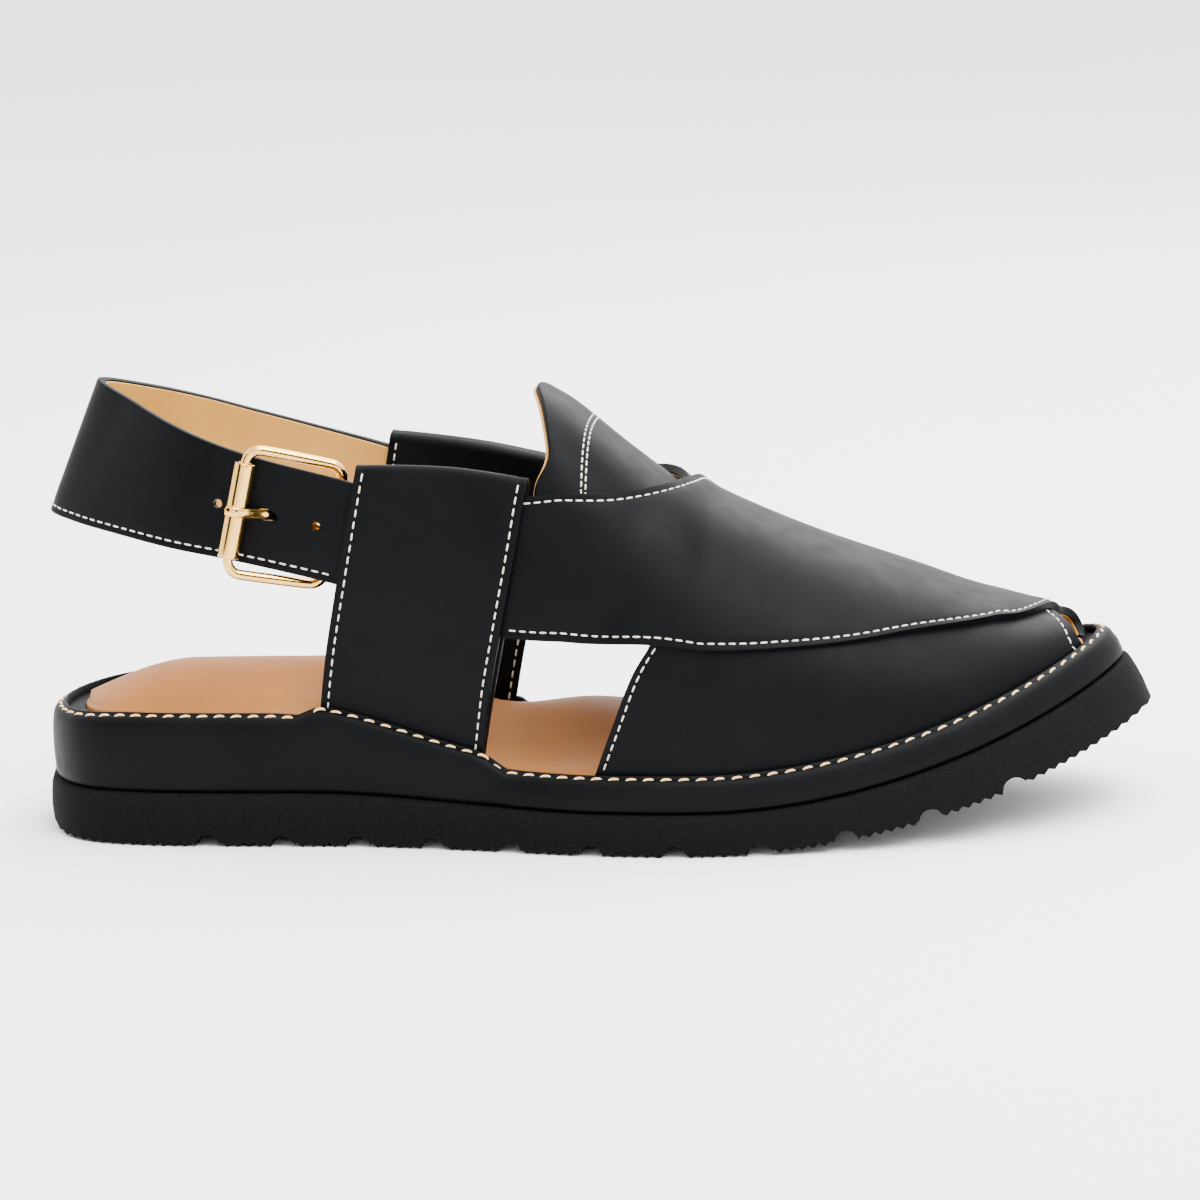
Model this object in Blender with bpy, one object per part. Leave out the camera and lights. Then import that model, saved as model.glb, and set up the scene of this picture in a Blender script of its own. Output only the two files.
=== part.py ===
"""Peshawari chappal, right shoe, size 42, built as its maker builds it.

Outsole, leather-wrapped midsole, insole, crossed vamp straps, tongue, two side bands, heel strap and
buckle are separate solids. Metres, +Z up, toe towards +X, medial (inner) side towards +Y.
The sole is drawn flat, as (along, across, height above the sole's plane), and its toe is then sprung up.
"""

import math
from collections import namedtuple

import bmesh
import bpy
import numpy as np

MM = 0.001
FIT = 0.3 * MM  # gap between pieces that touch
LATERAL, MEDIAL = -1, 1

# Sole in plan
SOLE_LENGTH = 301.5 * MM
BALL_WIDTH = 104 * MM
HEEL_BACK_X = -149 * MM
TOE_TIP_Y = 13 * MM
SOLE_STATIONS = 40
WELD = 0.001 * MM
SEARCH_STEPS = 40

# Toe spring: the sole leaves the floor at this place and rises along an arc
SPRING_START_X = 32 * MM
SPRING_RADIUS = 268 * MM

# Outsole
OUTSOLE_HEEL = 14.2 * MM
OUTSOLE_WAIST = 11.0 * MM
OUTSOLE_TOE = 14.0 * MM
WAIST_FROM, WAIST_FULL = -78 * MM, 6 * MM
TOE_FROM, TOE_FULL = 30 * MM, 150 * MM
OUTSOLE_EDGE = 1.2 * MM
OUTSOLE_FLARE = 0.8 * MM
OUTSOLE_WIDEST = 0.45  # height of the widest place, as a share of the thickness
HEEL_BEVEL_LENGTH = 9 * MM
HEEL_BEVEL_RISE = 3.0 * MM
HEEL_LUG_PITCH = 20.4 * MM
TOE_LUG_PITCH = 22.2 * MM
LUG_FIRST_X = -100.5 * MM
LUG_COUNT = 11
CHANNEL_WIDTH = 6.4 * MM
CHANNEL_DEPTH = 3.2 * MM
CHANNEL_STEPS = 6
CHANNEL_CLEAR = 1 * MM
PITCH_FROM, PITCH_TO = 3, 6  # channels between which the pitch grows

# Leather-wrapped midsole: its rim stands over the outsole
WRAP_INSET = 1.7 * MM
WRAP_BULGE = 0.3 * MM
WRAP_EDGE = 1.1 * MM
RIM_HEEL = 20.6 * MM
RIM_FOREFOOT = 9.2 * MM
RIM_DROP_FROM, RIM_DROP_TO = -84 * MM, -14 * MM
RIM_BACK_DIP = 1.6 * MM
RIM_BACK_DIP_LENGTH = 30 * MM
RIM_WIDTH = 4.4 * MM
LEDGE_DROP = 1.6 * MM
LEDGE_WIDTH = 4.4 * MM
LEDGE_MARGIN = 1.4 * MM  # between the straps' inner faces and the recess

# Insole
INSOLE_THICKNESS = 3.6 * MM
INSOLE_EDGE_DROP = 0.4 * MM
INSOLE_ROUND = 0.9 * MM
INSOLE_COLUMNS = 8
HEEL_CROWN = 7.5 * MM
ARCH_CROWN = 6.5 * MM
BALL_CROWN = 1.2 * MM

# Uppers
HEEL_WIDTH = 74 * MM
INSTEP_HEIGHT = 118 * MM
STRAP_THICKNESS = 2.2 * MM
STRAP_BITE = 0.5 * MM  # how far the outer vamp strap sinks into the inner one where they are joined
RAMP_LENGTH = 14 * MM
RAMP_END = 1 * MM
RAMP_GIRTH = 0.08
RAMP_START_GIRTH = 0.01
RIB_SAMPLES = 80
VAMP_ROWS, VAMP_COLUMNS = 28, 12
TONGUE_THICKNESS = 1.8 * MM
TONGUE_GAP = 0.7 * MM
TONGUE_ROWS, TONGUE_COLUMNS = 12, 16
BAND_LEATHER = 1.5 * MM
HEEL_STRAP_THICKNESS = 2.4 * MM
POCKET_THICKNESS = 2.4 * MM
BAND_JOIN = 0.36
BAND_OPEN = 0.34
BAND_FOLD = 0.012
BAND_FOLD_STEPS = 4
BAND_FOLD_RISE = 1.5 * MM
BAND_FOOT_ROWS, BAND_POCKET_ROWS, BAND_COLUMNS = 5, 11, 6
BAR_ROOM = 6.8 * MM
BAR_ROOM_SHARE = 0.5
HEEL_STRAP_STEPS, HEEL_STRAP_COLUMNS = 56, 4
FOOT_LIFT = 0.2 * MM
FOOT_BITE = 0.3 * MM
FOOT_LEVEL_GIRTH = 0.05
FOOT_RISE_GIRTH = 0.15
LEDGE_POINTS = 240
WALL_EASE = 1.45  # spreads the girth evenly over the steep walls of the last
NORMAL_STEP = 0.5 * MM
NORMAL_GIRTH_STEP = 0.004

# Holes in the heel strap, counted backwards from the lateral band
HOLE_FIRST = 5.7 * MM
HOLE_PITCH = 13.4 * MM
HOLE_COUNT = 3
HOLE_RADIUS = 1.2 * MM
HOLE_SIDES = 16
PRONG_HOLE = 1
SLOT_LENGTH = 8.0 * MM
SLOT_WIDTH = 3.6 * MM

# Buckle
WIRE_RADIUS = 1.45 * MM
WIRE_SIDES = 12
ROLLER_RADIUS = 2.9 * MM
ROLLER_LENGTH = 25.5 * MM
ROLLER_SIDES = 24
BAR_BEHIND_BAND = 2.1 * MM
BAR_DEPTH = 3.7 * MM
ROLLER_BEHIND_BAND = 26.4 * MM
FRAME_HEIGHT = 33.6 * MM
FRAME_BASE_HEIGHT = 32.4 * MM
CORNER_RADIUS = 4.0 * MM
CORNER_STEPS = 5
PRONG_WIDTH = 2.8 * MM
PRONG_THICKNESS = 1.2 * MM
PRONG_SIDES = 10
EYE_DEGREES = 270
EYE_STEPS = 10
LOOP_LEATHER = 0.9 * MM
LOOP_BELOW_STRAP = 0.7 * MM
LOOP_REACH = 11 * MM
LOOP_NECK = 0.5  # where the loop's outer end starts to leave the bar, as a share of its reach
LOOP_INNER_NECK = 0.65
LOOP_STEPS = 8
LOOP_NEAR = 2.0 * MM
LOOP_FAR = 9.5 * MM

OutlineRow = namedtuple("OutlineRow", "along lateral medial")
OUTLINE = [
    OutlineRow(0.000, 0.00, 0.00),
    OutlineRow(0.012, 0.31, 0.31),
    OutlineRow(0.045, 0.545, 0.535),
    OutlineRow(0.105, 0.66, 0.64),
    OutlineRow(0.190, 0.70, 0.67),
    OutlineRow(0.300, 0.73, 0.65),
    OutlineRow(0.400, 0.83, 0.67),
    OutlineRow(0.500, 0.955, 0.77),
    OutlineRow(0.590, 1.00, 0.91),
    OutlineRow(0.680, 0.96, 0.99),
    OutlineRow(0.765, 0.86, 1.00),
    OutlineRow(0.845, 0.70, 0.94),
    OutlineRow(0.910, 0.48, 0.84),
    OutlineRow(0.960, 0.22, 0.70),
    OutlineRow(0.990, -0.03, 0.47),
    OutlineRow(1.000, -0.21, 0.21),
]


def smooth(low, high, value):
    """0 below low, 1 above high, with an easy curve between."""
    t = min(max((value - low) / (high - low), 0.0), 1.0)
    return t * t * (3 - 2 * t)


def through(rows, share, before=None, after=None):
    """Place on the smooth curve through the rows, at a share from 0 to 1 of the way along them."""
    rows = [np.array(row, float) for row in rows]
    first = 2 * rows[0] - rows[1] if before is None else np.array(before, float)
    last = 2 * rows[-1] - rows[-2] if after is None else np.array(after, float)
    points = [first, *rows, last]
    place = share * (len(rows) - 1)
    k = min(int(place), len(rows) - 2)
    t = place - k
    a, b, c, d = points[k : k + 4]
    return 0.5 * (2 * b + (c - a) * t + (2 * a - 5 * b + 4 * c - d) * t**2 + (3 * b - a - 3 * c + d) * t**3)


def along(share):
    """Place along at a share of the sole's length from the heel."""
    return HEEL_BACK_X + share * SOLE_LENGTH


def outline(share):
    """Along, lateral and medial place of the outsole's edge, flat, at a share of the way from heel to toe."""
    half = BALL_WIDTH / 2
    rows = [(along(r.along), -r.lateral * half, r.medial * half) for r in OUTLINE]
    rows[-1] = (rows[-1][0], TOE_TIP_Y, TOE_TIP_Y)
    heel, toe = rows[1], rows[-2]
    return through(rows, share, before=(heel[0], heel[2], heel[1]), after=(toe[0], toe[2], toe[1]))


def edge_point(share, side, inset):
    """Flat place on the outline, moved inwards by the inset along the outline's own normal."""
    step = 1e-4
    low, high = max(share - step, 0.0), min(share + step, 1.0)
    column = 1 if side == LATERAL else 2
    here, back, ahead = outline(share), outline(low), outline(high)
    run, rise = ahead[0] - back[0], ahead[column] - back[column]
    length = math.hypot(run, rise)
    out_x, out_y = -side * rise / length, side * run / length
    return here[0] - out_x * inset, here[column] - out_y * inset


def sprung(x, y, height):
    """Real place of a point that is drawn on the flat sole: past the spring's start it rises along the arc."""
    if x <= SPRING_START_X:
        return np.array((x, y, height))
    turn = (x - SPRING_START_X) / SPRING_RADIUS
    return np.array(
        (
            SPRING_START_X + (SPRING_RADIUS - height) * math.sin(turn),
            y,
            SPRING_RADIUS - (SPRING_RADIUS - height) * math.cos(turn),
        )
    )


def outsole_thickness(x):
    """Thickness of the outsole at a flat place along it."""
    waist = smooth(WAIST_FROM, WAIST_FULL, x)
    toe = smooth(TOE_FROM, TOE_FULL, x)
    return OUTSOLE_HEEL + (OUTSOLE_WAIST - OUTSOLE_HEEL) * waist + (OUTSOLE_TOE - OUTSOLE_WAIST) * toe


def rim_height(x):
    """Height of the wrapped rim's top above the floor side of the outsole."""
    drop = smooth(RIM_DROP_FROM, RIM_DROP_TO, x)
    dip = RIM_BACK_DIP * (1 - smooth(HEEL_BACK_X, HEEL_BACK_X + RIM_BACK_DIP_LENGTH, x))
    return outsole_thickness(x) + RIM_HEEL + (RIM_FOREFOOT - RIM_HEEL) * drop - dip


def material(name, colour, roughness, metallic=0.0):
    """Principled material in one colour."""
    made = bpy.data.materials.new(name)
    made.use_nodes = True
    shader = made.node_tree.nodes["Principled BSDF"]
    shader.inputs["Base Color"].default_value = (*colour, 1)
    shader.inputs["Roughness"].default_value = roughness
    shader.inputs["Metallic"].default_value = metallic
    return made


def finished(name, bm, look, crease=40):
    """Object from a bmesh, with faces pointing out, smooth between its creases."""
    bmesh.ops.remove_doubles(bm, verts=bm.verts, dist=WELD)
    bmesh.ops.recalc_face_normals(bm, faces=bm.faces)
    mesh = bpy.data.meshes.new(name)
    bm.to_mesh(mesh)
    bm.free()
    mesh.shade_smooth()
    mesh.set_sharp_from_angle(angle=math.radians(crease))
    if look:
        mesh.materials.append(look)
    made = bpy.data.objects.new(name, mesh)
    bpy.context.scene.collection.objects.link(made)
    return made


def ring(bm, shares, inset, height):
    """Closed ring of vertices round the sole. Height is a function of the flat place along."""
    spots = [edge_point(s, LATERAL, inset) for s in shares]
    spots += [edge_point(s, MEDIAL, inset) for s in shares[-2:0:-1]]
    return [bm.verts.new(sprung(x, y, height(x))) for x, y in spots]


def skin(bm, lower, upper):
    """Quads between two rings of the same count."""
    count = len(lower)
    for i in range(count):
        j = (i + 1) % count
        bm.faces.new((lower[i], lower[j], upper[j], upper[i]))


def cover(bm, loop, shares, inset, height, columns=1):
    """Closes a ring from side to side. Height is a function of the flat place along and the share across."""
    last = len(shares) - 1
    rows = [[loop[0]]]
    for i in range(1, last):
        (lx, ly), (mx, my) = (edge_point(shares[i], side, inset) for side in (LATERAL, MEDIAL))
        inner = []
        for j in range(1, columns):
            across = j / columns
            x, y = lx + (mx - lx) * across, ly + (my - ly) * across
            inner.append(bm.verts.new(sprung(x, y, height(x, across))))
        rows.append([loop[i], *inner, loop[-i]])
    rows.append([loop[last]])
    for near, far in zip(rows[1:-1], rows[2:-1]):
        for j in range(columns):
            bm.faces.new((near[j], near[j + 1], far[j + 1], far[j]))
    for tip, row in ((rows[0][0], rows[1]), (rows[-1][0], rows[-2])):
        for j in range(columns):
            bm.faces.new((tip, row[j], row[j + 1]))


def share_at(x):
    """Share along the outline at which its flat place along is x."""
    low, high = 0.0, 1.0
    for _ in range(SEARCH_STEPS):
        middle = (low + high) / 2
        if outline(middle)[0] < x:
            low = middle
        else:
            high = middle
    return (low + high) / 2


def channel_places():
    """Flat places along of the channels' middles: the pitch grows from heel to forefoot."""
    places = [LUG_FIRST_X]
    for k in range(1, LUG_COUNT):
        places.append(places[-1] + HEEL_LUG_PITCH + (TOE_LUG_PITCH - HEEL_LUG_PITCH) * smooth(PITCH_FROM, PITCH_TO, k))
    return places


def channel_depth(x):
    """Depth of the arched cross channels in the tread at a flat place along."""
    half = CHANNEL_WIDTH / 2
    for place in channel_places():
        away = abs(x - place)
        if away < half:
            return CHANNEL_DEPTH * math.sqrt(1 - (away / half) ** 2)
    return 0.0


def outsole_bottom(x):
    """Height of the outsole's underside over the sole's plane: bevelled heel, then lugs between channels."""
    bevel = HEEL_BEVEL_RISE * max(0.0, 1 - (x - HEEL_BACK_X) / HEEL_BEVEL_LENGTH) ** 2
    return bevel + channel_depth(x)


def outsole(look):
    """Thick rubber outsole with arched channels between its lugs."""
    shares = [i / SOLE_STATIONS for i in range(SOLE_STATIONS + 1)]
    half = CHANNEL_WIDTH / 2
    spans = channel_places()
    shares = [s for s in shares if all(abs(outline(s)[0] - x) > half + CHANNEL_CLEAR for x in spans)]
    for centre in spans:
        for k in range(CHANNEL_STEPS + 1):
            shares.append(share_at(centre - half * math.cos(math.pi * k / CHANNEL_STEPS)))
    shares.sort()
    bm = bmesh.new()
    bottom = ring(bm, shares, OUTSOLE_FLARE / 2, outsole_bottom)
    foot = ring(bm, shares, 0, lambda x: outsole_thickness(x) * OUTSOLE_WIDEST)
    top = ring(bm, shares, OUTSOLE_FLARE / 2, lambda x: outsole_thickness(x) - OUTSOLE_EDGE)
    seat_inset = OUTSOLE_FLARE / 2 + OUTSOLE_EDGE
    seat = ring(bm, shares, seat_inset, outsole_thickness)
    skin(bm, bottom, foot)
    skin(bm, foot, top)
    skin(bm, top, seat)
    cover(bm, bottom, shares, OUTSOLE_FLARE / 2, lambda x, across: outsole_bottom(x))
    cover(bm, seat, shares, seat_inset, lambda x, across: outsole_thickness(x))
    return finished("outsole", bm, look)


def sole_shares():
    """Stations for the layers above the outsole."""
    return [i / SOLE_STATIONS for i in range(SOLE_STATIONS + 1)]


RIM_INNER = WRAP_INSET + RIM_WIDTH
RECESS_INSET = RIM_INNER + LEDGE_WIDTH
FOOT_INSET = RECESS_INSET - LEDGE_MARGIN

# Section of the wrapped rim, from its side over the top to the ledge: inset from the wrap's face, drop
# from the rim's top
RimRow = namedtuple("RimRow", "inset drop")
RIM = [
    RimRow(0.2 * MM, 2.2 * MM),
    RimRow(1.1 * MM, 0.6 * MM),
    RimRow(2.7 * MM, 0.0 * MM),
    RimRow(3.9 * MM, 0.3 * MM),
]


def ledge_height(x):
    """Height of the ledge that the straps stand on."""
    return rim_height(x) - LEDGE_DROP


def midsole(look):
    """Midsole wrapped in leather: a rounded rim, a ledge for the straps, and a recess for the insole."""
    shares = sole_shares()

    def floor(x):
        return rim_height(x) - INSOLE_EDGE_DROP - INSOLE_THICKNESS - FIT

    def foot(x):
        return outsole_thickness(x) + FIT

    def side(x):
        return foot(x) + WRAP_EDGE

    def middle(x):
        return (outsole_thickness(x) + rim_height(x)) / 2

    profile = [(WRAP_INSET + WRAP_EDGE, foot), (WRAP_INSET, side), (WRAP_INSET - WRAP_BULGE, middle)]
    profile += [(WRAP_INSET + row.inset, lambda x, row=row: rim_height(x) - row.drop) for row in RIM]
    profile += [(RIM_INNER, ledge_height), (RECESS_INSET, ledge_height), (RECESS_INSET, floor)]
    bm = bmesh.new()
    rings = [ring(bm, shares, inset, height) for inset, height in profile]
    for lower, upper in zip(rings, rings[1:]):
        skin(bm, lower, upper)
    cover(bm, rings[0], shares, profile[0][0], lambda x, across: profile[0][1](x))
    cover(bm, rings[-1], shares, RECESS_INSET, lambda x, across: floor(x))
    return finished("midsole", bm, look)


# Padding of the insole: each row rises and ebbs between its places along, in shares of the sole's length.
# The skew moves its highest place towards the medial side.
CrownRow = namedtuple("CrownRow", "rise rises_from full_from ebbs_from ends skew fullness")
CROWN = [
    CrownRow(HEEL_CROWN, 0.010, 0.123, 0.262, 0.428, 1.0, 0.8),
    CrownRow(ARCH_CROWN, 0.146, 0.322, 0.461, 0.633, 1.9, 1.2),
    CrownRow(BALL_CROWN, 0.428, 0.560, 0.859, 0.992, 1.0, 1.0),
]


def crown(x, across):
    """Rise of the insole's top over its edge: a padded heel, a medial arch, and a flatter forefoot."""
    rise = 0.0
    for row in CROWN:
        risen = smooth(along(row.rises_from), along(row.full_from), x)
        there = risen * (1 - smooth(along(row.ebbs_from), along(row.ends), x))
        rise += row.rise * there * abs(math.sin(math.pi * across**row.skew)) ** row.fullness
    return rise


def insole(look):
    """Padded leather insole, with a crowned heel and arch."""
    shares = sole_shares()
    inset = RECESS_INSET + FIT

    def underside(x):
        return rim_height(x) - INSOLE_EDGE_DROP - INSOLE_THICKNESS

    def side(x):
        return rim_height(x) - INSOLE_EDGE_DROP - INSOLE_ROUND

    def top(x, across=0.0):
        return rim_height(x) - INSOLE_EDGE_DROP + crown(x, across)

    bm = bmesh.new()
    lower = ring(bm, shares, inset, underside)
    middle = ring(bm, shares, inset, side)
    upper = ring(bm, shares, inset + INSOLE_ROUND, lambda x: top(x))
    skin(bm, lower, middle)
    skin(bm, middle, upper)
    cover(bm, lower, shares, inset, lambda x, across: underside(x))
    cover(bm, upper, shares, inset + INSOLE_ROUND, top, columns=INSOLE_COLUMNS)
    return finished("insole", bm, look)


# Last: sections across the foot, each from the lateral ledge over the instep to the medial ledge.
# Places along are shares of the sole's length, crests are heights over the ledge in shares of the instep's
# height, and the bulge is the part of the heel's width by which a section stands wider than its feet.
LastRow = namedtuple("LastRow", "along crest fullness lean bulge")
LAST = [
    LastRow(0.200, 0.824, 3.2, 0.00, 0.060),
    LastRow(0.300, 0.847, 3.2, 0.00, 0.060),
    LastRow(0.400, 0.863, 3.1, 0.00, 0.035),
    LastRow(0.482, 0.791, 3.0, 0.00, 0.014),
    LastRow(0.543, 0.672, 2.7, 0.00, 0.000),
    LastRow(0.600, 0.552, 2.45, 0.01, 0.000),
    LastRow(0.682, 0.432, 2.35, 0.03, 0.000),
    LastRow(0.769, 0.302, 2.3, 0.04, 0.000),
    LastRow(0.855, 0.155, 2.3, 0.04, 0.000),
    LastRow(0.902, 0.080, 2.2, 0.03, 0.000),
    LastRow(0.950, 0.010, 2.1, 0.01, 0.000),
]


def ledge_line(side):
    """Real places along the ledge where the inner faces of the straps stand, from heel to toe."""
    spots = []
    for i in range(LEDGE_POINTS + 1):
        x, y = edge_point(i / LEDGE_POINTS, side, FOOT_INSET)
        spots.append(sprung(x, y, ledge_height(x) + FIT + FOOT_LIFT))
    return np.array(spots)


LEDGE = {side: ledge_line(side) for side in (LATERAL, MEDIAL)}


def last_row(x):
    """Crest over the ledge, fullness, lean and bulge of the last at a real place along."""
    places = [along(row.along) for row in LAST]
    x = min(max(x, places[0]), places[-1])
    k = min(max(int(np.searchsorted(places, x)) - 1, 0), len(LAST) - 2)
    share = (k + (x - places[k]) / (places[k + 1] - places[k])) / (len(LAST) - 1)
    crest, fullness, lean, bulge = through([row[1:] for row in LAST], share)
    return crest * INSTEP_HEIGHT, fullness, lean * HEEL_WIDTH, bulge * HEEL_WIDTH


def on_last(x, girth):
    """Point on the last at a real place along. Girth runs from 0 at the lateral ledge to 1 at the medial one."""
    feet = [[np.interp(x, LEDGE[side][:, 0], LEDGE[side][:, k]) for k in (1, 2)] for side in (LATERAL, MEDIAL)]
    crest, fullness, lean, bulge = last_row(x)
    low, high = girth**WALL_EASE, (1 - girth) ** WALL_EASE
    turn = math.pi * low / (low + high)
    cosine, rise = math.cos(turn), math.sin(turn) ** (2 / fullness)
    out = math.copysign(abs(cosine) ** (2 / fullness), cosine)
    across = (1 - out) / 2
    y = feet[0][0] + (feet[1][0] - feet[0][0]) * across
    y += lean * rise - bulge * out * (1 - (1 - rise) ** 3)
    base = feet[0][1] + (feet[1][1] - feet[0][1]) * across
    return np.array((x, y, base + crest * rise))


def last_normal(x, girth):
    """Outward normal of the last, level at the ledge so that feet stay on it."""
    ahead = on_last(x + NORMAL_STEP, girth) - on_last(x - NORMAL_STEP, girth)
    low, high = max(girth - NORMAL_GIRTH_STEP, 0.0), min(girth + NORMAL_GIRTH_STEP, 1.0)
    normal = np.cross(ahead, on_last(x, high) - on_last(x, low))
    normal[2] *= smooth(0, FOOT_LEVEL_GIRTH, min(girth, 1 - girth))
    return normal / np.linalg.norm(normal)


def off_last(x, girth, offset):
    """Point at a distance outside the last. Feet follow the rise of the ledge towards the toe."""
    start = on_last(x, girth)
    end = start + last_normal(x, girth) * offset
    line = LEDGE[LATERAL if girth < 0.5 else MEDIAL]
    rise = np.interp((end[0], x), line[:, 0], line[:, 2])
    end[2] += (rise[0] - rise[1]) * (1 - smooth(0, FOOT_RISE_GIRTH, min(girth, 1 - girth)))
    return end


def sheet(bm, inner, outer):
    """Closed solid between two grids of points of the same count: inner face, outer face and edges."""
    rows, columns = len(inner), len(inner[0])
    inside = [[bm.verts.new(p) for p in row] for row in inner]
    outside = [[bm.verts.new(p) for p in row] for row in outer]
    for grid in (inside, outside):
        for i in range(rows - 1):
            for j in range(columns - 1):
                bm.faces.new((grid[i][j], grid[i][j + 1], grid[i + 1][j + 1], grid[i + 1][j]))
    edge = [(0, j) for j in range(columns - 1)]
    edge += [(i, columns - 1) for i in range(rows - 1)]
    edge += [(rows - 1, j) for j in range(columns - 1, 0, -1)]
    edge += [(i, 0) for i in range(rows - 1, 0, -1)]
    for (i, j), (k, m) in zip(edge, edge[1:] + edge[:1]):
        bm.faces.new((inside[i][j], inside[k][m], outside[k][m], outside[i][j]))


# Vamp straps: ribs across a strap, from its rear edge to its front edge, in the order in which it runs
# from its own side band over the instep to the far side of the toe. Girths are counted from its own band.
RibRow = namedtuple("RibRow", "rear_along rear_girth front_along front_girth")
VAMP_RIBS = [
    RibRow(0.3800, 0.262, 0.3650, 0.135),
    RibRow(0.4580, 0.300, 0.4360, 0.142),
    RibRow(0.5085, 0.342, 0.5000, 0.162),
    RibRow(0.5468, 0.397, 0.5800, 0.215),
    RibRow(0.5745, 0.465, 0.6640, 0.252),
    RibRow(0.5880, 0.560, 0.7500, 0.294),
    RibRow(0.5890, 0.660, 0.8250, 0.358),
    RibRow(0.5730, 0.755, 0.8820, 0.440),
    RibRow(0.5450, 0.845, 0.9090, 0.600),
    RibRow(0.5270, 0.920, 0.9180, 0.800),
    RibRow(0.5085, 1.000, 0.9230, 1.000),
]
MEDIAL_STRAP_DROP = 0.023  # girth by which the inner strap starts lower in the lower medial band
MEDIAL_DROP_FROM, MEDIAL_DROP_TO = 0.3, 0.5  # girths between which it comes up to the outer strap's line


def vamp_place(run, across, side):
    """Place along and girth on the vamp strap that starts at the side band of the given side."""
    rear_along, rear_girth, front_along, front_girth = through(VAMP_RIBS, run)
    if side == MEDIAL:
        rear_girth -= MEDIAL_STRAP_DROP * (1 - smooth(MEDIAL_DROP_FROM, MEDIAL_DROP_TO, rear_girth))
    x = along(rear_along + (front_along - rear_along) * across)
    girth = rear_girth + (front_girth - rear_girth) * across
    return x, girth if side == LATERAL else 1 - girth


RIBS = [through(VAMP_RIBS, i / RIB_SAMPLES) for i in range(RIB_SAMPLES + 1)]
FRONT_EDGE = np.array([(along(rib[2]), 1 - rib[3]) for rib in RIBS])
REAR_EDGE = np.array([(1 - rib[1], along(rib[0])) for rib in RIBS[RIB_SAMPLES // 2 :]])[::-1]


def over_inner_strap(x, girth):
    """How far the outer strap is lifted by the inner one beneath it, from 0 to 1."""
    if girth < 0.5:
        edge = float(np.interp(girth, REAR_EDGE[:, 0], REAR_EDGE[:, 1]))
        return smooth(edge - RAMP_LENGTH, edge - RAMP_END, x)
    edge = float(np.interp(x, FRONT_EDGE[:, 0], FRONT_EDGE[:, 1]))
    return 1 - smooth(edge + RAMP_START_GIRTH, edge + RAMP_GIRTH, girth)


def vamp_strap(name, side, look):
    """One vamp strap. The lateral one lies over the medial one."""

    def point(run, across, depth):
        x, girth = vamp_place(run, across, side)
        lift = (STRAP_THICKNESS - STRAP_BITE) * over_inner_strap(x, girth) if side == LATERAL else 0
        return off_last(x, girth, lift + depth)

    bm = bmesh.new()
    grids = [
        [
            [point(i / VAMP_ROWS, j / VAMP_COLUMNS, depth) for j in range(VAMP_COLUMNS + 1)]
            for i in range(VAMP_ROWS + 1)
        ]
        for depth in (0, STRAP_THICKNESS)
    ]
    sheet(bm, *grids)
    return finished(name, bm, look)


def upper(look):
    """Both vamp straps, sewn together where they cross."""
    outer = vamp_strap("upper", LATERAL, look)
    inner = vamp_strap("inner_strap", MEDIAL, look)
    inner.hide_render = True
    inner.display_type = "WIRE"
    join = outer.modifiers.new("Sewn crossing", "BOOLEAN")
    join.operation = "UNION"
    join.solver = "EXACT"
    join.object = inner
    return outer


# Tongue: rear and front edge at girths from its side up to the crest
TongueRow = namedtuple("TongueRow", "girth rear_along front_along")
TONGUE = [
    TongueRow(0.255, 0.4610, 0.585),
    TongueRow(0.295, 0.4605, 0.600),
    TongueRow(0.320, 0.4623, 0.612),
    TongueRow(0.349, 0.4709, 0.624),
    TongueRow(0.373, 0.4740, 0.634),
    TongueRow(0.406, 0.4714, 0.645),
    TongueRow(0.450, 0.4670, 0.655),
    TongueRow(0.480, 0.4620, 0.659),
    TongueRow(0.500, 0.4570, 0.660),
]


def tongue(look):
    """Peaked flap under the crossing of the straps."""
    rows = TONGUE + [TongueRow(1 - row[0], *row[1:]) for row in TONGUE[-2::-1]]

    def point(run, across, depth):
        girth, rear, front = through(rows, across)
        return off_last(along(rear + (front - rear) * run), girth, depth)

    bm = bmesh.new()
    grids = [
        [
            [point(i / TONGUE_ROWS, j / TONGUE_COLUMNS, depth) for j in range(TONGUE_COLUMNS + 1)]
            for i in range(TONGUE_ROWS + 1)
        ]
        for depth in (-TONGUE_GAP - TONGUE_THICKNESS, -TONGUE_GAP)
    ]
    sheet(bm, *grids)
    return finished("tongue", bm, look)


# Side bands: rear and front edge at even steps from the ledge up to the folded top
BandRow = namedtuple("BandRow", "rear_along front_along")
BAND = [
    BandRow(0.2635, 0.4090),
    BandRow(0.2735, 0.4205),
    BandRow(0.2852, 0.4343),
    BandRow(0.2968, 0.4475),
    BandRow(0.3075, 0.4575),
]
BAND_TOP_GIRTHS = {LATERAL: (0.271, 0.314), MEDIAL: (0.267, 0.292)}


def band_place(rise, across, side):
    """Place along and girth in a side band, at a share of its height and of its width from its rear edge."""
    rear, front = through(BAND, rise)
    low, high = BAND_TOP_GIRTHS[side]
    girth = rise * (low + (high - low) * across)
    return along(rear + (front - rear) * across), girth if side == LATERAL else 1 - girth


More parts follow.
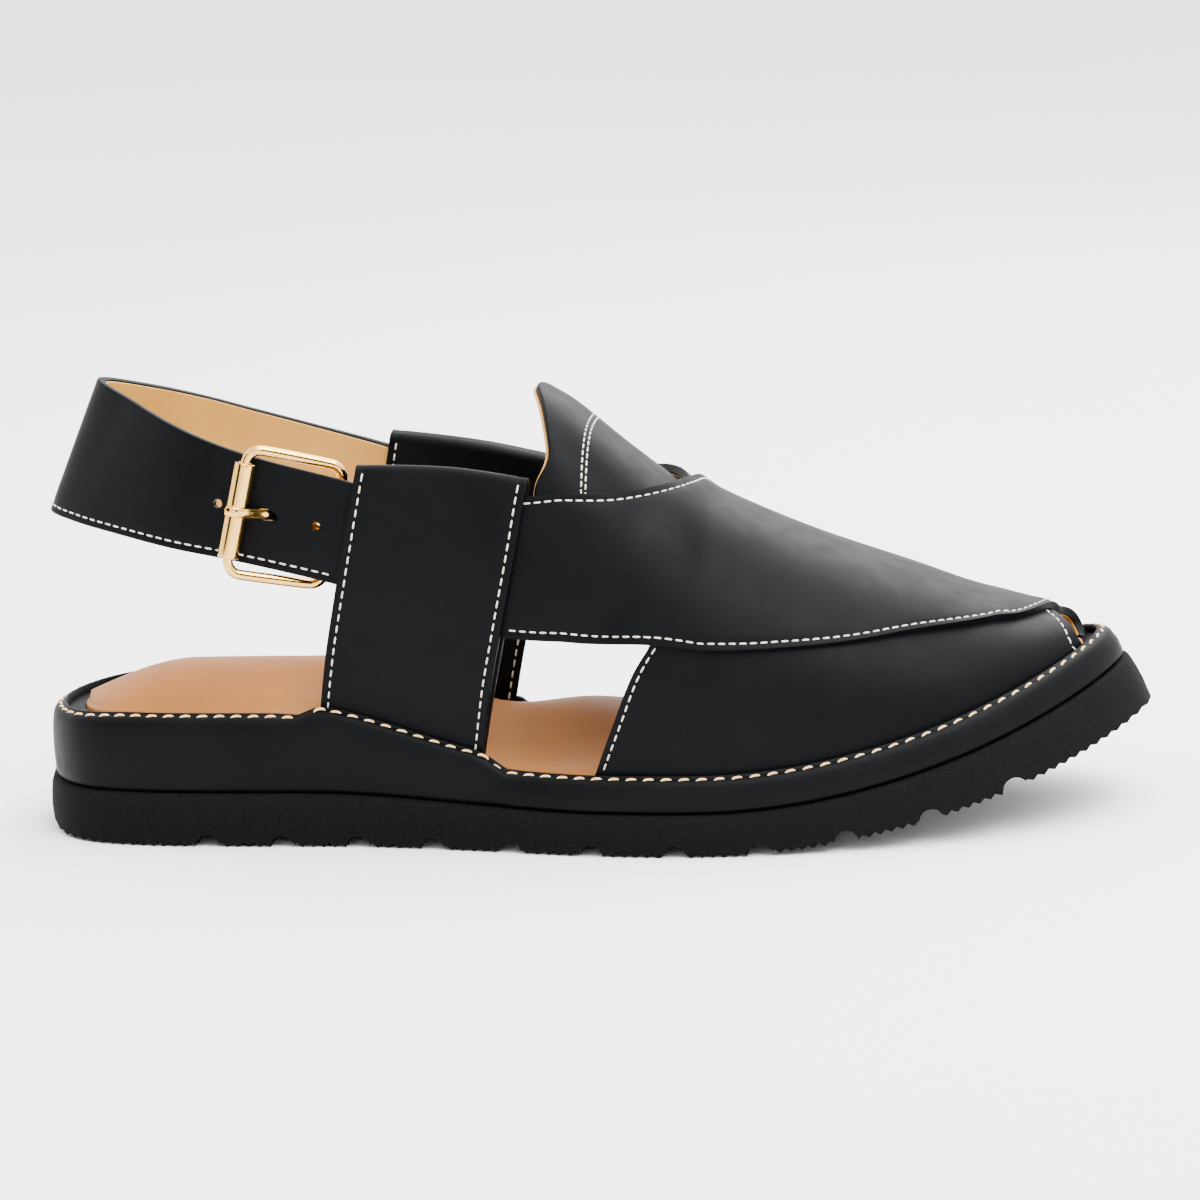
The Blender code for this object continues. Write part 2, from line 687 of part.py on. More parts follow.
def side_band(name, side, bar_room, look):
    """Leather band folded over at its top, with a pocket between its layers for the ends of the straps.

    The pocket is deeper at the rear by the room for the buckle's bar.
    """
    low = [BAND_JOIN * i / BAND_FOOT_ROWS for i in range(BAND_FOOT_ROWS)]
    high = [BAND_JOIN + (1 - BAND_JOIN) * i / BAND_POCKET_ROWS for i in range(BAND_POCKET_ROWS + 1)]
    rises = low + high
    first = len(low)

    def point(rise, across, depth):
        return off_last(*band_place(rise, across, side), depth)

    bm = bmesh.new()
    columns = []
    for j in range(BAND_COLUMNS + 1):
        across = j / BAND_COLUMNS
        room = bar_room * (1 - smooth(0, BAR_ROOM_SHARE, across))
        pocket_inner, pocket_outer = -FIT - room, POCKET_THICKNESS + FIT
        inside, outside, pocket_in, pocket_out = [], [], [], []
        for i, rise in enumerate(rises):
            open_share = smooth(0, BAND_OPEN, rise)
            inner = -FOOT_BITE + (pocket_inner - BAND_LEATHER + FOOT_BITE) * open_share
            outer = 2 * BAND_LEATHER - FOOT_BITE
            outer += (pocket_outer + BAND_LEATHER - outer) * open_share
            inside.append(bm.verts.new(point(rise, across, inner)))
            outside.append(bm.verts.new(point(rise, across, outer)))
            if i >= first:
                drop = BAND_FOLD if i == len(rises) - 1 else 0
                pocket_in.append(bm.verts.new(point(rise - drop, across, pocket_inner)))
                pocket_out.append(bm.verts.new(point(rise - drop, across, pocket_outer)))
        depths = (pocket_inner - BAND_LEATHER, pocket_outer + BAND_LEATHER)
        fold = []
        for k in range(1, BAND_FOLD_STEPS):
            turn = math.pi * k / BAND_FOLD_STEPS
            depth = (depths[0] + depths[1]) / 2 - (depths[1] - depths[0]) / 2 * math.cos(turn)
            fold.append(bm.verts.new(point(1, across, depth) + np.array((0, 0, BAND_FOLD_RISE * math.sin(turn)))))
        loop = inside + fold + outside[::-1]
        columns.append((loop, inside, outside, pocket_in, pocket_out, fold))
    for near, far in zip(columns, columns[1:]):
        skin(bm, near[0], far[0])
        skin(bm, near[3] + near[4][::-1], far[3] + far[4][::-1])
    for column in (columns[0], columns[-1]):
        close_band(bm, first, *column[1:])
    return finished(name, bm, look)


def close_band(bm, first, inside, outside, pocket_in, pocket_out, fold):
    """Edge of a side band: the joined layers at the foot, then both layers beside the pocket, then the fold."""
    for i in range(first - 1):
        bm.faces.new((inside[i], inside[i + 1], outside[i + 1], outside[i]))
    bm.faces.new((inside[first - 1], inside[first], pocket_in[0], pocket_out[0], outside[first], outside[first - 1]))
    for i in range(len(pocket_in) - 1):
        bm.faces.new((inside[first + i], inside[first + i + 1], pocket_in[i + 1], pocket_in[i]))
        bm.faces.new((outside[first + i], outside[first + i + 1], pocket_out[i + 1], pocket_out[i]))
    bm.faces.new([inside[-1], *fold, outside[-1], pocket_out[-1], pocket_in[-1]])


# Heel strap: top and bottom edge of its inner face, from the back of the heel round to a side band.
# Places along are shares of the sole's length, widths of the heel's width, heights of the instep's height.
HeelRow = namedtuple("HeelRow", "top_along top_wide top_high low_along low_wide low_high")
HEEL_STRAP = [
    HeelRow(0.0683, 0.000, 1.016, 0.0186, 0.000, 0.714),
    HeelRow(0.1028, 0.162, 0.984, 0.0445, 0.135, 0.705),
    HeelRow(0.1426, 0.295, 0.944, 0.0900, 0.262, 0.690),
    HeelRow(0.1834, 0.362, 0.905, 0.1390, 0.360, 0.670),
    HeelRow(0.2295, 0.389, 0.868, 0.2000, 0.403, 0.643),
]
# Where the strap goes into the band, and where it ends inside it: along and girth of its top and low edge
EntryRow = namedtuple("EntryRow", "top_along top_girth low_along low_girth")
ENTRY = [
    EntryRow(0.2966, 0.257, 0.2806, 0.146),
    EntryRow(0.3280, 0.253, 0.3130, 0.142),
    EntryRow(0.3600, 0.247, 0.3460, 0.136),
]


def heel_strap_rows():
    """Points of the strap's top, middle and low line, inner face, from its lateral end round to its medial end."""
    half = []
    for row in HEEL_STRAP:
        top = np.array((along(row.top_along), -row.top_wide * HEEL_WIDTH, row.top_high * INSTEP_HEIGHT))
        low = np.array((along(row.low_along), -row.low_wide * HEEL_WIDTH, row.low_high * INSTEP_HEIGHT))
        half.append((*top, *(top + low) / 2, *low))
    for row in ENTRY:
        girths = (row.top_girth, (row.top_girth + row.low_girth) / 2, row.low_girth)
        places = (row.top_along, (row.top_along + row.low_along) / 2, row.low_along)
        half.append(tuple(v for place, girth in zip(places, girths) for v in on_last(along(place), girth)))
    far = [HEEL_STRAP_FLIP * row for row in np.array(half[1:])]
    medial = [on_last(along(place), 1 - girth) for place, girth in ENTRY_SPOTS]
    for k, row in enumerate(far[len(HEEL_STRAP) - 1 :]):
        row[:] = np.concatenate(medial[k * 3 : k * 3 + 3])
    return half[::-1] + far


HEEL_STRAP_FLIP = np.array((1, -1, 1) * 3)
ENTRY_SPOTS = [
    spot
    for row in ENTRY
    for spot in (
        (row.top_along, row.top_girth),
        ((row.top_along + row.low_along) / 2, (row.top_girth + row.low_girth) / 2),
        (row.low_along, row.low_girth),
    )
]
STRAP_ROWS = heel_strap_rows()


def strap_point(run, across, depth):
    """Point of the heel strap: run goes from the lateral end (0) to the medial one (1), across from top to low."""
    step = 1e-3

    def flat(r, a):
        row = through(STRAP_ROWS, min(max(r, 0.0), 1.0))
        top, middle, low = row[:3], row[3:6], row[6:]
        return top * (1 - a) * (1 - 2 * a) + middle * 4 * a * (1 - a) + low * a * (2 * a - 1)

    here = flat(run, across)
    ahead = flat(run + step, across) - flat(run - step, across)
    down = flat(run, across + step) - flat(run, across - step)
    normal = np.cross(ahead, down)
    return here + normal / np.linalg.norm(normal) * depth


ENTRY_RUN = (len(ENTRY) - 1) / (len(STRAP_ROWS) - 1)


def run_at(distance):
    """Run at a distance along the middle of the strap from where it leaves the lateral band, backwards."""
    run, step = ENTRY_RUN, 1e-3 if distance > 0 else -1e-3
    left = abs(distance)
    while left > 0:
        length = np.linalg.norm(strap_point(run + step, 0.5, 0) - strap_point(run, 0.5, 0))
        run += step * min(1.0, left / length)
        left -= length
    return run


def strap_frame(distance):
    """Middle of the strap's inner face at a distance behind the band, with its up, back and out directions."""
    run = run_at(distance)
    middle = strap_point(run, 0.5, 0)
    up = strap_point(run, 0, 0) - strap_point(run, 1, 0)
    up /= np.linalg.norm(up)
    out = strap_point(run, 0.5, 1) - middle
    back = np.cross(out, up)
    return middle, up, back / np.linalg.norm(back), out / np.linalg.norm(out)


def cutter(name, points, direction, reach):
    """Prism through a strap, kept as a guide for cutting a hole."""
    bm = bmesh.new()
    ends = [[bm.verts.new(p + direction * reach * k) for p in points] for k in (-1, 1)]
    skin(bm, *ends)
    bm.faces.new(ends[0])
    bm.faces.new(ends[1])
    made = finished(name, bm, None)
    made.hide_render = True
    made.display_type = "WIRE"
    return made


def heel_strap(look):
    """Strap round the heel, with punched holes near its lateral end. The prong's hole is a slot."""
    bm = bmesh.new()
    runs = [i / HEEL_STRAP_STEPS for i in range(HEEL_STRAP_STEPS + 1)]
    grids = [
        [[strap_point(run, j / HEEL_STRAP_COLUMNS, depth) for j in range(HEEL_STRAP_COLUMNS + 1)] for run in runs]
        for depth in (0, HEEL_STRAP_THICKNESS)
    ]
    sheet(bm, *grids)
    made = finished("heel_strap", bm, look)
    for k in range(HOLE_COUNT):
        middle, up, back, out = strap_frame(HOLE_FIRST + k * HOLE_PITCH)
        length = SLOT_LENGTH / 2 if k == PRONG_HOLE else HOLE_RADIUS
        width = SLOT_WIDTH / 2 if k == PRONG_HOLE else HOLE_RADIUS
        turns = [2 * math.pi * i / HOLE_SIDES for i in range(HOLE_SIDES)]
        edge = [middle + back * math.cos(t) * length + up * math.sin(t) * width for t in turns]
        cut = made.modifiers.new("Hole", "BOOLEAN")
        cut.solver = "EXACT"
        cut.object = cutter(f"hole_{k}", edge, out, HEEL_STRAP_THICKNESS * 2)
    return made


def tube(bm, path, up, half_width, half_depth, sides, closed):
    """Sweeps a rounded section along a path of points. Its width lies along up, its depth across the path."""
    rings = []
    count = len(path)
    for i, p in enumerate(path):
        before = path[i - 1] if closed or i else path[0]
        after = path[(i + 1) % count] if closed or i < count - 1 else path[-1]
        tangent = after - before
        depth = np.cross(tangent, up(i))
        depth /= np.linalg.norm(depth)
        width = np.cross(depth, tangent)
        width /= np.linalg.norm(width)
        turns = [2 * math.pi * k / sides for k in range(sides)]
        rings.append(
            [bm.verts.new(p + width * math.cos(t) * half_width + depth * math.sin(t) * half_depth) for t in turns]
        )
    for near, far in zip(rings, rings[1:] + rings[:1] if closed else rings[1:]):
        skin(bm, near, far)
    if not closed:
        bm.faces.new(rings[0])
        bm.faces.new(rings[-1])


def unit(vector):
    """The vector at length 1."""
    return vector / np.linalg.norm(vector)


def buckle_places():
    """Middle of the base bar and of the roller, then the buckle's up, back and out directions at the bar."""
    bar, up, back, out = strap_frame(BAR_BEHIND_BAND)
    roller, _, _, roller_out = strap_frame(ROLLER_BEHIND_BAND)
    bar = bar - out * BAR_DEPTH
    roller = roller + roller_out * (HEEL_STRAP_THICKNESS + FIT + ROLLER_RADIUS)
    rearward = unit(roller - bar)
    up = unit(up - rearward * np.dot(up, rearward))
    out = unit(out - up * np.dot(out, up))
    return bar, roller, up, np.cross(out, up), out


def buckle_frame(look):
    """Bent wire frame: base bar, two side bars and the side that carries the roller."""
    bar, roller, up, _, _ = buckle_places()
    forward = unit(bar - roller)
    level = np.cross(up, forward)
    corners = [
        (roller, FRAME_HEIGHT / 2, -1),
        (bar, FRAME_BASE_HEIGHT / 2, 1),
    ]
    path = []
    for middle, half, end in corners:
        for side in (1, -1) if end == 1 else (-1, 1):
            for k in range(CORNER_STEPS + 1):
                turn = math.pi / 2 * k / CORNER_STEPS
                turn = turn if side * end == 1 else math.pi / 2 - turn
                along_frame = -end * CORNER_RADIUS * (1 - math.sin(turn))
                across_frame = side * (half - CORNER_RADIUS * (1 - math.cos(turn)))
                path.append(middle + forward * along_frame + up * across_frame)
    bm = bmesh.new()
    tube(bm, path, lambda i: level, WIRE_RADIUS, WIRE_RADIUS, WIRE_SIDES, closed=True)
    return finished("buckle_frame", bm, look, crease=60)


def buckle_roller(look):
    """Tube that turns on the frame's rear side."""
    _, roller, up, back, out = buckle_places()
    bm = bmesh.new()
    rings = []
    for radius, end in ((WIRE_RADIUS + FIT, -1), (ROLLER_RADIUS, -1), (ROLLER_RADIUS, 1), (WIRE_RADIUS + FIT, 1)):
        turns = [2 * math.pi * k / ROLLER_SIDES for k in range(ROLLER_SIDES)]
        middle = roller + up * end * ROLLER_LENGTH / 2
        rings.append([bm.verts.new(middle + (back * math.cos(t) + out * math.sin(t)) * radius) for t in turns])
    for near, far in zip(rings, rings[1:] + rings[:1]):
        skin(bm, near, far)
    return finished("buckle_roller", bm, look)


# Prong's path: back from the slot's middle in shares of its length, and out from the strap's inner face in
# shares of the strap's thickness; then back from the roller's middle and out from where the prong rests on
# it, both in shares of the roller's radius
BendRow = namedtuple("BendRow", "back out")
PRONG_AT_SLOT = [BendRow(-0.15, 0.125), BendRow(0.15, 1.083)]
PRONG_AT_ROLLER = [
    BendRow(-1.172, -1.034),
    BendRow(-0.448, -0.103),
    BendRow(0.207, 0.034),
    BendRow(0.793, -0.172),
]
PRONG_STRAIGHT = 6 * MM  # before the slot's middle, where the prong turns outwards


def buckle_prong(look):
    """Prong: an eye round the base bar, then under the strap, up through its slot and over the roller."""
    bar, _, up, back, out = buckle_places()
    bar = bar + out * BAR_DEPTH
    eye = WIRE_RADIUS + FIT + PRONG_THICKNESS / 2
    under = eye - BAR_DEPTH
    over = HEEL_STRAP_THICKNESS + 2 * ROLLER_RADIUS + 2 * FIT + PRONG_THICKNESS / 2
    slot = HOLE_FIRST + PRONG_HOLE * HOLE_PITCH - BAR_BEHIND_BAND
    reach = ROLLER_BEHIND_BAND - BAR_BEHIND_BAND
    spots = []
    for k in range(EYE_STEPS + 1):
        turn = -math.radians(EYE_DEGREES) * k / EYE_STEPS
        spots.append((eye * math.cos(turn), eye * math.sin(turn) - BAR_DEPTH))
    spots += [(slot - PRONG_STRAIGHT, under), (slot - PRONG_STRAIGHT / 2, under)]
    spots += [(slot + row.back * SLOT_LENGTH, row.out * HEEL_STRAP_THICKNESS) for row in PRONG_AT_SLOT]
    spots += [(reach + row.back * ROLLER_RADIUS, over + row.out * ROLLER_RADIUS) for row in PRONG_AT_ROLLER]
    path = [bar + back * d + out * n for d, n in spots]
    bm = bmesh.new()
    tube(bm, path, lambda i: up, PRONG_WIDTH / 2, PRONG_THICKNESS / 2, PRONG_SIDES, closed=False)
    return finished("buckle_prong", bm, look, crease=60)


def buckle_loop(name, low, high, look):
    """Leather loop round the base bar, beside the prong. Its two ends lie together in the band's pocket."""
    bar, _, up, back, out = buckle_places()
    bar = bar + out * BAR_DEPTH
    radius = WIRE_RADIUS + FIT + LOOP_LEATHER / 2
    outer_end = -LOOP_BELOW_STRAP - LOOP_LEATHER / 2
    inner_end = outer_end - FIT - LOOP_LEATHER
    middle = [(-LOOP_REACH, outer_end), (-LOOP_REACH * LOOP_NECK, outer_end)]
    for k in range(LOOP_STEPS + 1):
        turn = math.pi / 2 - math.pi * k / LOOP_STEPS
        middle.append((radius * math.cos(turn), radius * math.sin(turn) - BAR_DEPTH))
    middle += [(-LOOP_REACH * LOOP_INNER_NECK, inner_end), (-LOOP_REACH, inner_end)]
    centre = [np.array(p) for p in middle]
    inner, outer = [], []
    for i, p in enumerate(centre):
        run = centre[min(i + 1, len(centre) - 1)] - centre[max(i - 1, 0)]
        away = np.array((-run[1], run[0])) / np.linalg.norm(run) * LOOP_LEATHER / 2
        outer.append(p + away)
        inner.append(p - away)
    bm = bmesh.new()
    grids = [
        [[bar + back * d + out * n + up * rise for rise in (low, high)] for d, n in row] for row in (inner, outer)
    ]
    sheet(bm, *grids)
    return finished(name, bm, look)


def clear_scene():
    """Removes what the file starts with."""
    for old in list(bpy.data.objects):
        bpy.data.objects.remove(old)


def main():
    """Builds every piece."""
    clear_scene()
    rubber = material("Outsole rubber", (0.022, 0.022, 0.022), 0.85)
    black = material("Black leather", (0.014, 0.015, 0.017), 0.5)
    tan = material("Tan leather", (0.72, 0.42, 0.2), 0.55)
    outsole(rubber)
    midsole(black)
    insole(tan)
    upper(black)
    tongue(black)
    side_band("side_band_lateral", LATERAL, BAR_ROOM, black)
    side_band("side_band_medial", MEDIAL, 0, black)
    heel_strap(black)
    gold = material("Buckle brass", (0.83, 0.56, 0.2), 0.25, metallic=1.0)
    buckle_frame(gold)
    buckle_roller(gold)
    buckle_prong(gold)
    for name, side in (("buckle_loop_upper", 1), ("buckle_loop_lower", -1)):
        edges = sorted((side * LOOP_NEAR, side * LOOP_FAR))
        buckle_loop(name, *edges, black)


if __name__ == "__main__":
    main()
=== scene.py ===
"""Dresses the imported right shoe, a peshawari chappal in black leather, on a pale studio floor.

The leather, the sole's layers and their stitching are laid out from the shoe's own sizes, in metres, toe
towards +X, medial side towards +Y, so that each piece stands where its solid does.
"""

import logging
import math
from collections.abc import Callable, Sequence
from dataclasses import dataclass
from enum import Enum
from functools import cached_property
from typing import NamedTuple

import bpy
import numpy as np
from mathutils import Matrix, Vector


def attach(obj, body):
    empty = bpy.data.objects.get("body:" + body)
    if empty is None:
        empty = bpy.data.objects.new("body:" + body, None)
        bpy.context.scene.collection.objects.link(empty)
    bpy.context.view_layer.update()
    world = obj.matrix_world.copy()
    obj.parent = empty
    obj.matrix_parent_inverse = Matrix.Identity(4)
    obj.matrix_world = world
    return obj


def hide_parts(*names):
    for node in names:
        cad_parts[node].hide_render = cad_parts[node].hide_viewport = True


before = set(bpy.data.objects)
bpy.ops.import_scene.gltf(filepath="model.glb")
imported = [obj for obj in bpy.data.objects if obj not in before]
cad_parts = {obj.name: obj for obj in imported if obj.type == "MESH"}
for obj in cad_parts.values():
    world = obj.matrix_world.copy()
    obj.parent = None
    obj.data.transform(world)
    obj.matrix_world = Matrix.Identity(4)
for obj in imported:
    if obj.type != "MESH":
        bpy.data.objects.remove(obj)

MM = 0.001
FIT = 0.3 * MM
LOG = logging.getLogger("chappal")
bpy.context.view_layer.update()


class Side(Enum):
    """Side of the foot: its value is the sign of the place across."""

    LATERAL = -1
    MEDIAL = 1


class Slot(Enum):
    """Material slots of the part."""

    RUBBER = "rubber"
    BLACK = "black_leather"
    TAN = "tan_leather"
    BUCKLE = "buckle"


def smooth(low: float, high: float, value: float) -> float:
    """0 below low, 1 above high, with an easy curve between.

    Args:
        low: value at which the curve leaves 0.
        high: value at which it reaches 1.
        value: where to read it.

    Returns:
        A share from 0 to 1.
    """
    t = min(max((value - low) / (high - low), 0.0), 1.0)
    return t * t * (3 - 2 * t)


def swell(span: Sequence[float], value: float) -> float:
    """Rise from 0 to 1 between the span's first two places, and fall back to 0 between its last two.

    Args:
        span: four places, in order.
        value: where to read it.

    Returns:
        A share from 0 to 1.
    """
    start, full, ebb, end = span
    return smooth(start, full, value) * (1 - smooth(ebb, end, value))


def through(
    rows: Sequence, share: float, before: Sequence | None = None, after: Sequence | None = None
) -> np.ndarray:
    """Place on the smooth curve through the rows.

    Args:
        rows: rows of numbers, in order.
        share: from 0 at the first row to 1 at the last.
        before: row ahead of the first, if the curve goes on there.
        after: row behind the last.

    Returns:
        One row of numbers.
    """
    place = share * (len(rows) - 1)
    k = min(int(place), len(rows) - 2)
    t = place - k
    b, c = np.array(rows[k], float), np.array(rows[k + 1], float)
    a = np.array(rows[k - 1] if k else 2 * b - c if before is None else before, float)
    d = np.array(rows[k + 2] if k + 2 < len(rows) else 2 * c - b if after is None else after, float)
    return 0.5 * (2 * b + (c - a) * t + (2 * a - 5 * b + 4 * c - d) * t**2 + (3 * b - a - 3 * c + d) * t**3)


def unit(vector: np.ndarray) -> np.ndarray:
    """The vector at length 1."""
    return vector / math.sqrt(float(vector @ vector))


def cross(a: np.ndarray, b: np.ndarray) -> np.ndarray:
    """Cross product of two places."""
    return np.array((a[1] * b[2] - a[2] * b[1], a[2] * b[0] - a[0] * b[2], a[0] * b[1] - a[1] * b[0]))


# Finishes


@dataclass(frozen=True)
class Finish:
    """Nodes that every finish shares."""

    name: str

    def start(self) -> tuple[bpy.types.Material, bpy.types.NodeTree, bpy.types.Node, bpy.types.Node]:
        """Opens a material.

        Returns:
            The material, its tree, its shader and a Texture Coordinate node.
        """
        made = bpy.data.materials.new(self.name)
        made.use_nodes = True
        tree = made.node_tree
        return made, tree, tree.nodes["Principled BSDF"], tree.nodes.new("ShaderNodeTexCoord")

    @staticmethod
    def noise(
        tree: bpy.types.NodeTree, place: bpy.types.Node, scale: float, detail: float, rough: float
    ) -> bpy.types.Node:
        """Noise on Object coordinates.

        Args:
            tree: material's tree.
            place: its Texture Coordinate node.
            scale: cells to the metre.
            detail: octaves.
            rough: how strong the finer ones are.

        Returns:
            The noise node.
        """
        made = tree.nodes.new("ShaderNodeTexNoise")
        made.inputs["Scale"].default_value = scale
        made.inputs["Detail"].default_value = detail
        made.inputs["Roughness"].default_value = rough
        tree.links.new(place.outputs["Object"], made.inputs["Vector"])
        return made

    @staticmethod
    def ramp(
        tree: bpy.types.NodeTree, source: bpy.types.NodeSocket, stops: Sequence[tuple[float, tuple]]
    ) -> bpy.types.Node:
        """Colour ramp on a value.

        Args:
            tree: material's tree.
            source: value that it reads.
            stops: places and colours.

        Returns:
            The ramp node.
        """
        made = tree.nodes.new("ShaderNodeValToRGB")
        while len(made.color_ramp.elements) < len(stops):
            made.color_ramp.elements.new(0.5)
        for element, (place, colour) in zip(made.color_ramp.elements, stops):
            element.position = place
            element.color = (*colour, 1)
        tree.links.new(source, made.inputs["Fac"])
        return made

    @staticmethod
    def bump(
        tree: bpy.types.NodeTree,
        height: bpy.types.NodeSocket,
        depth: float,
        strength: float,
        under: bpy.types.Node | None = None,
    ) -> bpy.types.Node:
        """Bump from a height.

        Args:
            tree: material's tree.
            height: value that it reads.
            depth: height of the relief.
            strength: how much of it shows.
            under: another bump that this one lies on.

        Returns:
            The bump node.
        """
        made = tree.nodes.new("ShaderNodeBump")
        made.inputs["Distance"].default_value = depth
        made.inputs["Strength"].default_value = strength
        tree.links.new(height, made.inputs["Height"])
        if under:
            tree.links.new(under.outputs["Normal"], made.inputs["Normal"])
        return made


@dataclass(frozen=True)
class LeatherFinish(Finish):
    """Smooth leather: pores, soft wrinkles, a little gloss, and tone that varies with wear."""

    dark: tuple[float, float, float] = (0.0010, 0.0012, 0.0015)
    light: tuple[float, float, float] = (0.0018, 0.0021, 0.0027)
    gloss: float = 0.46
    specular: float = 0.055
    gloss_spread: float = 0.05
    pore: float = 1500.0
    pore_depth: float = 0.05 * MM
    crease: float = 85.0
    crease_depth: float = 0.06 * MM

    def material(self) -> bpy.types.Material:
        """The finish as a material."""
        made, tree, shader, place = self.start()
        tone = self.noise(tree, place, 38.0, 5.0, 0.6)
        colour = self.ramp(tree, tone.outputs["Fac"], [(0.32, self.dark), (0.72, self.light)])
        tree.links.new(colour.outputs["Color"], shader.inputs["Base Color"])
        smear = self.noise(tree, place, 150.0, 4.0, 0.55)
        low, high = self.gloss - self.gloss_spread, self.gloss + self.gloss_spread
        rough = self.ramp(tree, smear.outputs["Fac"], [(0.3, (low,) * 3), (0.7, (high,) * 3)])
        tree.links.new(rough.outputs["Color"], shader.inputs["Roughness"])
        pores = tree.nodes.new("ShaderNodeTexVoronoi")
        pores.feature = "SMOOTH_F1"
        pores.inputs["Scale"].default_value = self.pore
        tree.links.new(place.outputs["Object"], pores.inputs["Vector"])
        wrinkle = self.noise(tree, place, self.crease, 6.0, 0.5)
        soft = self.bump(tree, wrinkle.outputs["Fac"], self.crease_depth, 0.5)
        fine = self.bump(tree, pores.outputs["Distance"], self.pore_depth, 0.35, soft)
        tree.links.new(fine.outputs["Normal"], shader.inputs["Normal"])
        shader.inputs["Specular IOR Level"].default_value = self.specular
        return made


@dataclass(frozen=True)
class FoamRubberFinish(Finish):
    """Matt foamed rubber with a fine open grain."""

    dark: tuple[float, float, float] = (0.0012, 0.0012, 0.0012)
    light: tuple[float, float, float] = (0.0042, 0.0042, 0.0040)
    grain: float = 2100.0

    def material(self) -> bpy.types.Material:
        """The finish as a material."""
        made, tree, shader, place = self.start()
        fine = self.noise(tree, place, self.grain, 3.0, 0.65)
        colour = self.ramp(tree, fine.outputs["Fac"], [(0.36, self.dark), (0.66, self.light)])
        tree.links.new(colour.outputs["Color"], shader.inputs["Base Color"])
        coarse = self.noise(tree, place, 520.0, 3.0, 0.6)
        under = self.bump(tree, coarse.outputs["Fac"], 0.12 * MM, 0.5)
        top = self.bump(tree, fine.outputs["Fac"], 0.10 * MM, 0.9, under)
        tree.links.new(top.outputs["Normal"], shader.inputs["Normal"])
        shader.inputs["Roughness"].default_value = 0.82
        shader.inputs["Specular IOR Level"].default_value = 0.06
        return made


@dataclass(frozen=True)
class ThreadFinish(Finish):
    """Waxed thread: bands of twist across each stitch."""

    colour: tuple[float, float, float] = (0.62, 0.60, 0.55)
    shade: tuple[float, float, float] = (0.42, 0.39, 0.34)

    def material(self) -> bpy.types.Material:
        """The finish as a material."""
        made, tree, shader, place = self.start()
        twist = self.noise(tree, place, 2600.0, 2.0, 0.5)
        colour = self.ramp(tree, twist.outputs["Fac"], [(0.35, self.shade), (0.6, self.colour)])
        tree.links.new(colour.outputs["Color"], shader.inputs["Base Color"])
        relief = self.bump(tree, twist.outputs["Fac"], 0.08 * MM, 0.6)
        tree.links.new(relief.outputs["Normal"], shader.inputs["Normal"])
        shader.inputs["Roughness"].default_value = 0.6
        shader.inputs["Sheen Weight"].default_value = 0.25
        return made


@dataclass(frozen=True)
class BrassFinish(Finish):
    """Polished gold-coloured plating with faint handling marks."""

    colour: tuple[float, float, float] = (0.80, 0.47, 0.115)

    def material(self) -> bpy.types.Material:
        """The finish as a material."""
        made, tree, shader, place = self.start()
        marks = self.noise(tree, place, 420.0, 6.0, 0.65)
        tint = tuple(c * 0.86 for c in self.colour)
        colour = self.ramp(tree, marks.outputs["Fac"], [(0.25, tint), (0.6, self.colour)])
        tree.links.new(colour.outputs["Color"], shader.inputs["Base Color"])
        rough = self.ramp(tree, marks.outputs["Fac"], [(0.3, (0.07,) * 3), (0.75, (0.13,) * 3)])
        tree.links.new(rough.outputs["Color"], shader.inputs["Roughness"])
        shader.inputs["Metallic"].default_value = 1.0
        return made


@dataclass(frozen=True)
class PlainFinish(Finish):
    """Plain matt surface of the studio, pale unless it is given a colour."""

    colour: tuple[float, float, float] = (0.90, 0.90, 0.90)

    def material(self) -> bpy.types.Material:
        """The finish as a material."""
        made, tree, shader, place = self.start()
        tone = self.noise(tree, place, 3.0, 2.0, 0.5)
        edge = tuple(c * 0.985 for c in self.colour)
        colour = self.ramp(tree, tone.outputs["Fac"], [(0.4, edge), (0.6, self.colour)])
        tree.links.new(colour.outputs["Color"], shader.inputs["Base Color"])
        shader.inputs["Roughness"].default_value = 0.9
        shader.inputs["Specular IOR Level"].default_value = 0.1
        return made


@dataclass(frozen=True)
class Palette:
    """All finishes of the shoe, made once."""

    black: bpy.types.Material
    wrap: bpy.types.Material
    lining: bpy.types.Material
    footbed: bpy.types.Material
    white_thread: bpy.types.Material
    tan_thread: bpy.types.Material
    rubber: bpy.types.Material
    gold: bpy.types.Material

    @classmethod
    def mix(cls) -> "Palette":
        """Makes the finishes.

        Returns:
            The palette.
        """
        wrap = {"gloss": 0.5, "crease": 130.0, "crease_depth": 0.28 * MM}
        tan = {"gloss": 0.55, "specular": 0.3, "pore": 1300.0, "crease_depth": 0.2 * MM}
        lining = {"dark": (0.46, 0.225, 0.036), "light": (0.58, 0.295, 0.056), **tan}
        footbed = {"dark": (0.225, 0.076, 0.006), "light": (0.29, 0.102, 0.010), **tan}
        tan_thread = {"colour": (0.78, 0.52, 0.24), "shade": (0.50, 0.30, 0.12)}
        return cls(
            black=LeatherFinish("Black strap leather").material(),
            wrap=LeatherFinish("Black wrap leather", **wrap).material(),
            lining=LeatherFinish("Tan lining leather", **lining).material(),
            footbed=LeatherFinish("Tan footbed leather", **footbed).material(),
            white_thread=ThreadFinish("White thread").material(),
            tan_thread=ThreadFinish("Tan thread", **tan_thread).material(),
            rubber=FoamRubberFinish("Foam rubber").material(),
            gold=BrassFinish("Gold plating").material(),
        )


# Pieces


def deselect() -> None:
    """Leaves object mode with nothing selected."""
    if bpy.context.object and bpy.context.object.mode != "OBJECT":
        bpy.ops.object.mode_set(mode="OBJECT")
    bpy.ops.object.select_all(action="DESELECT")


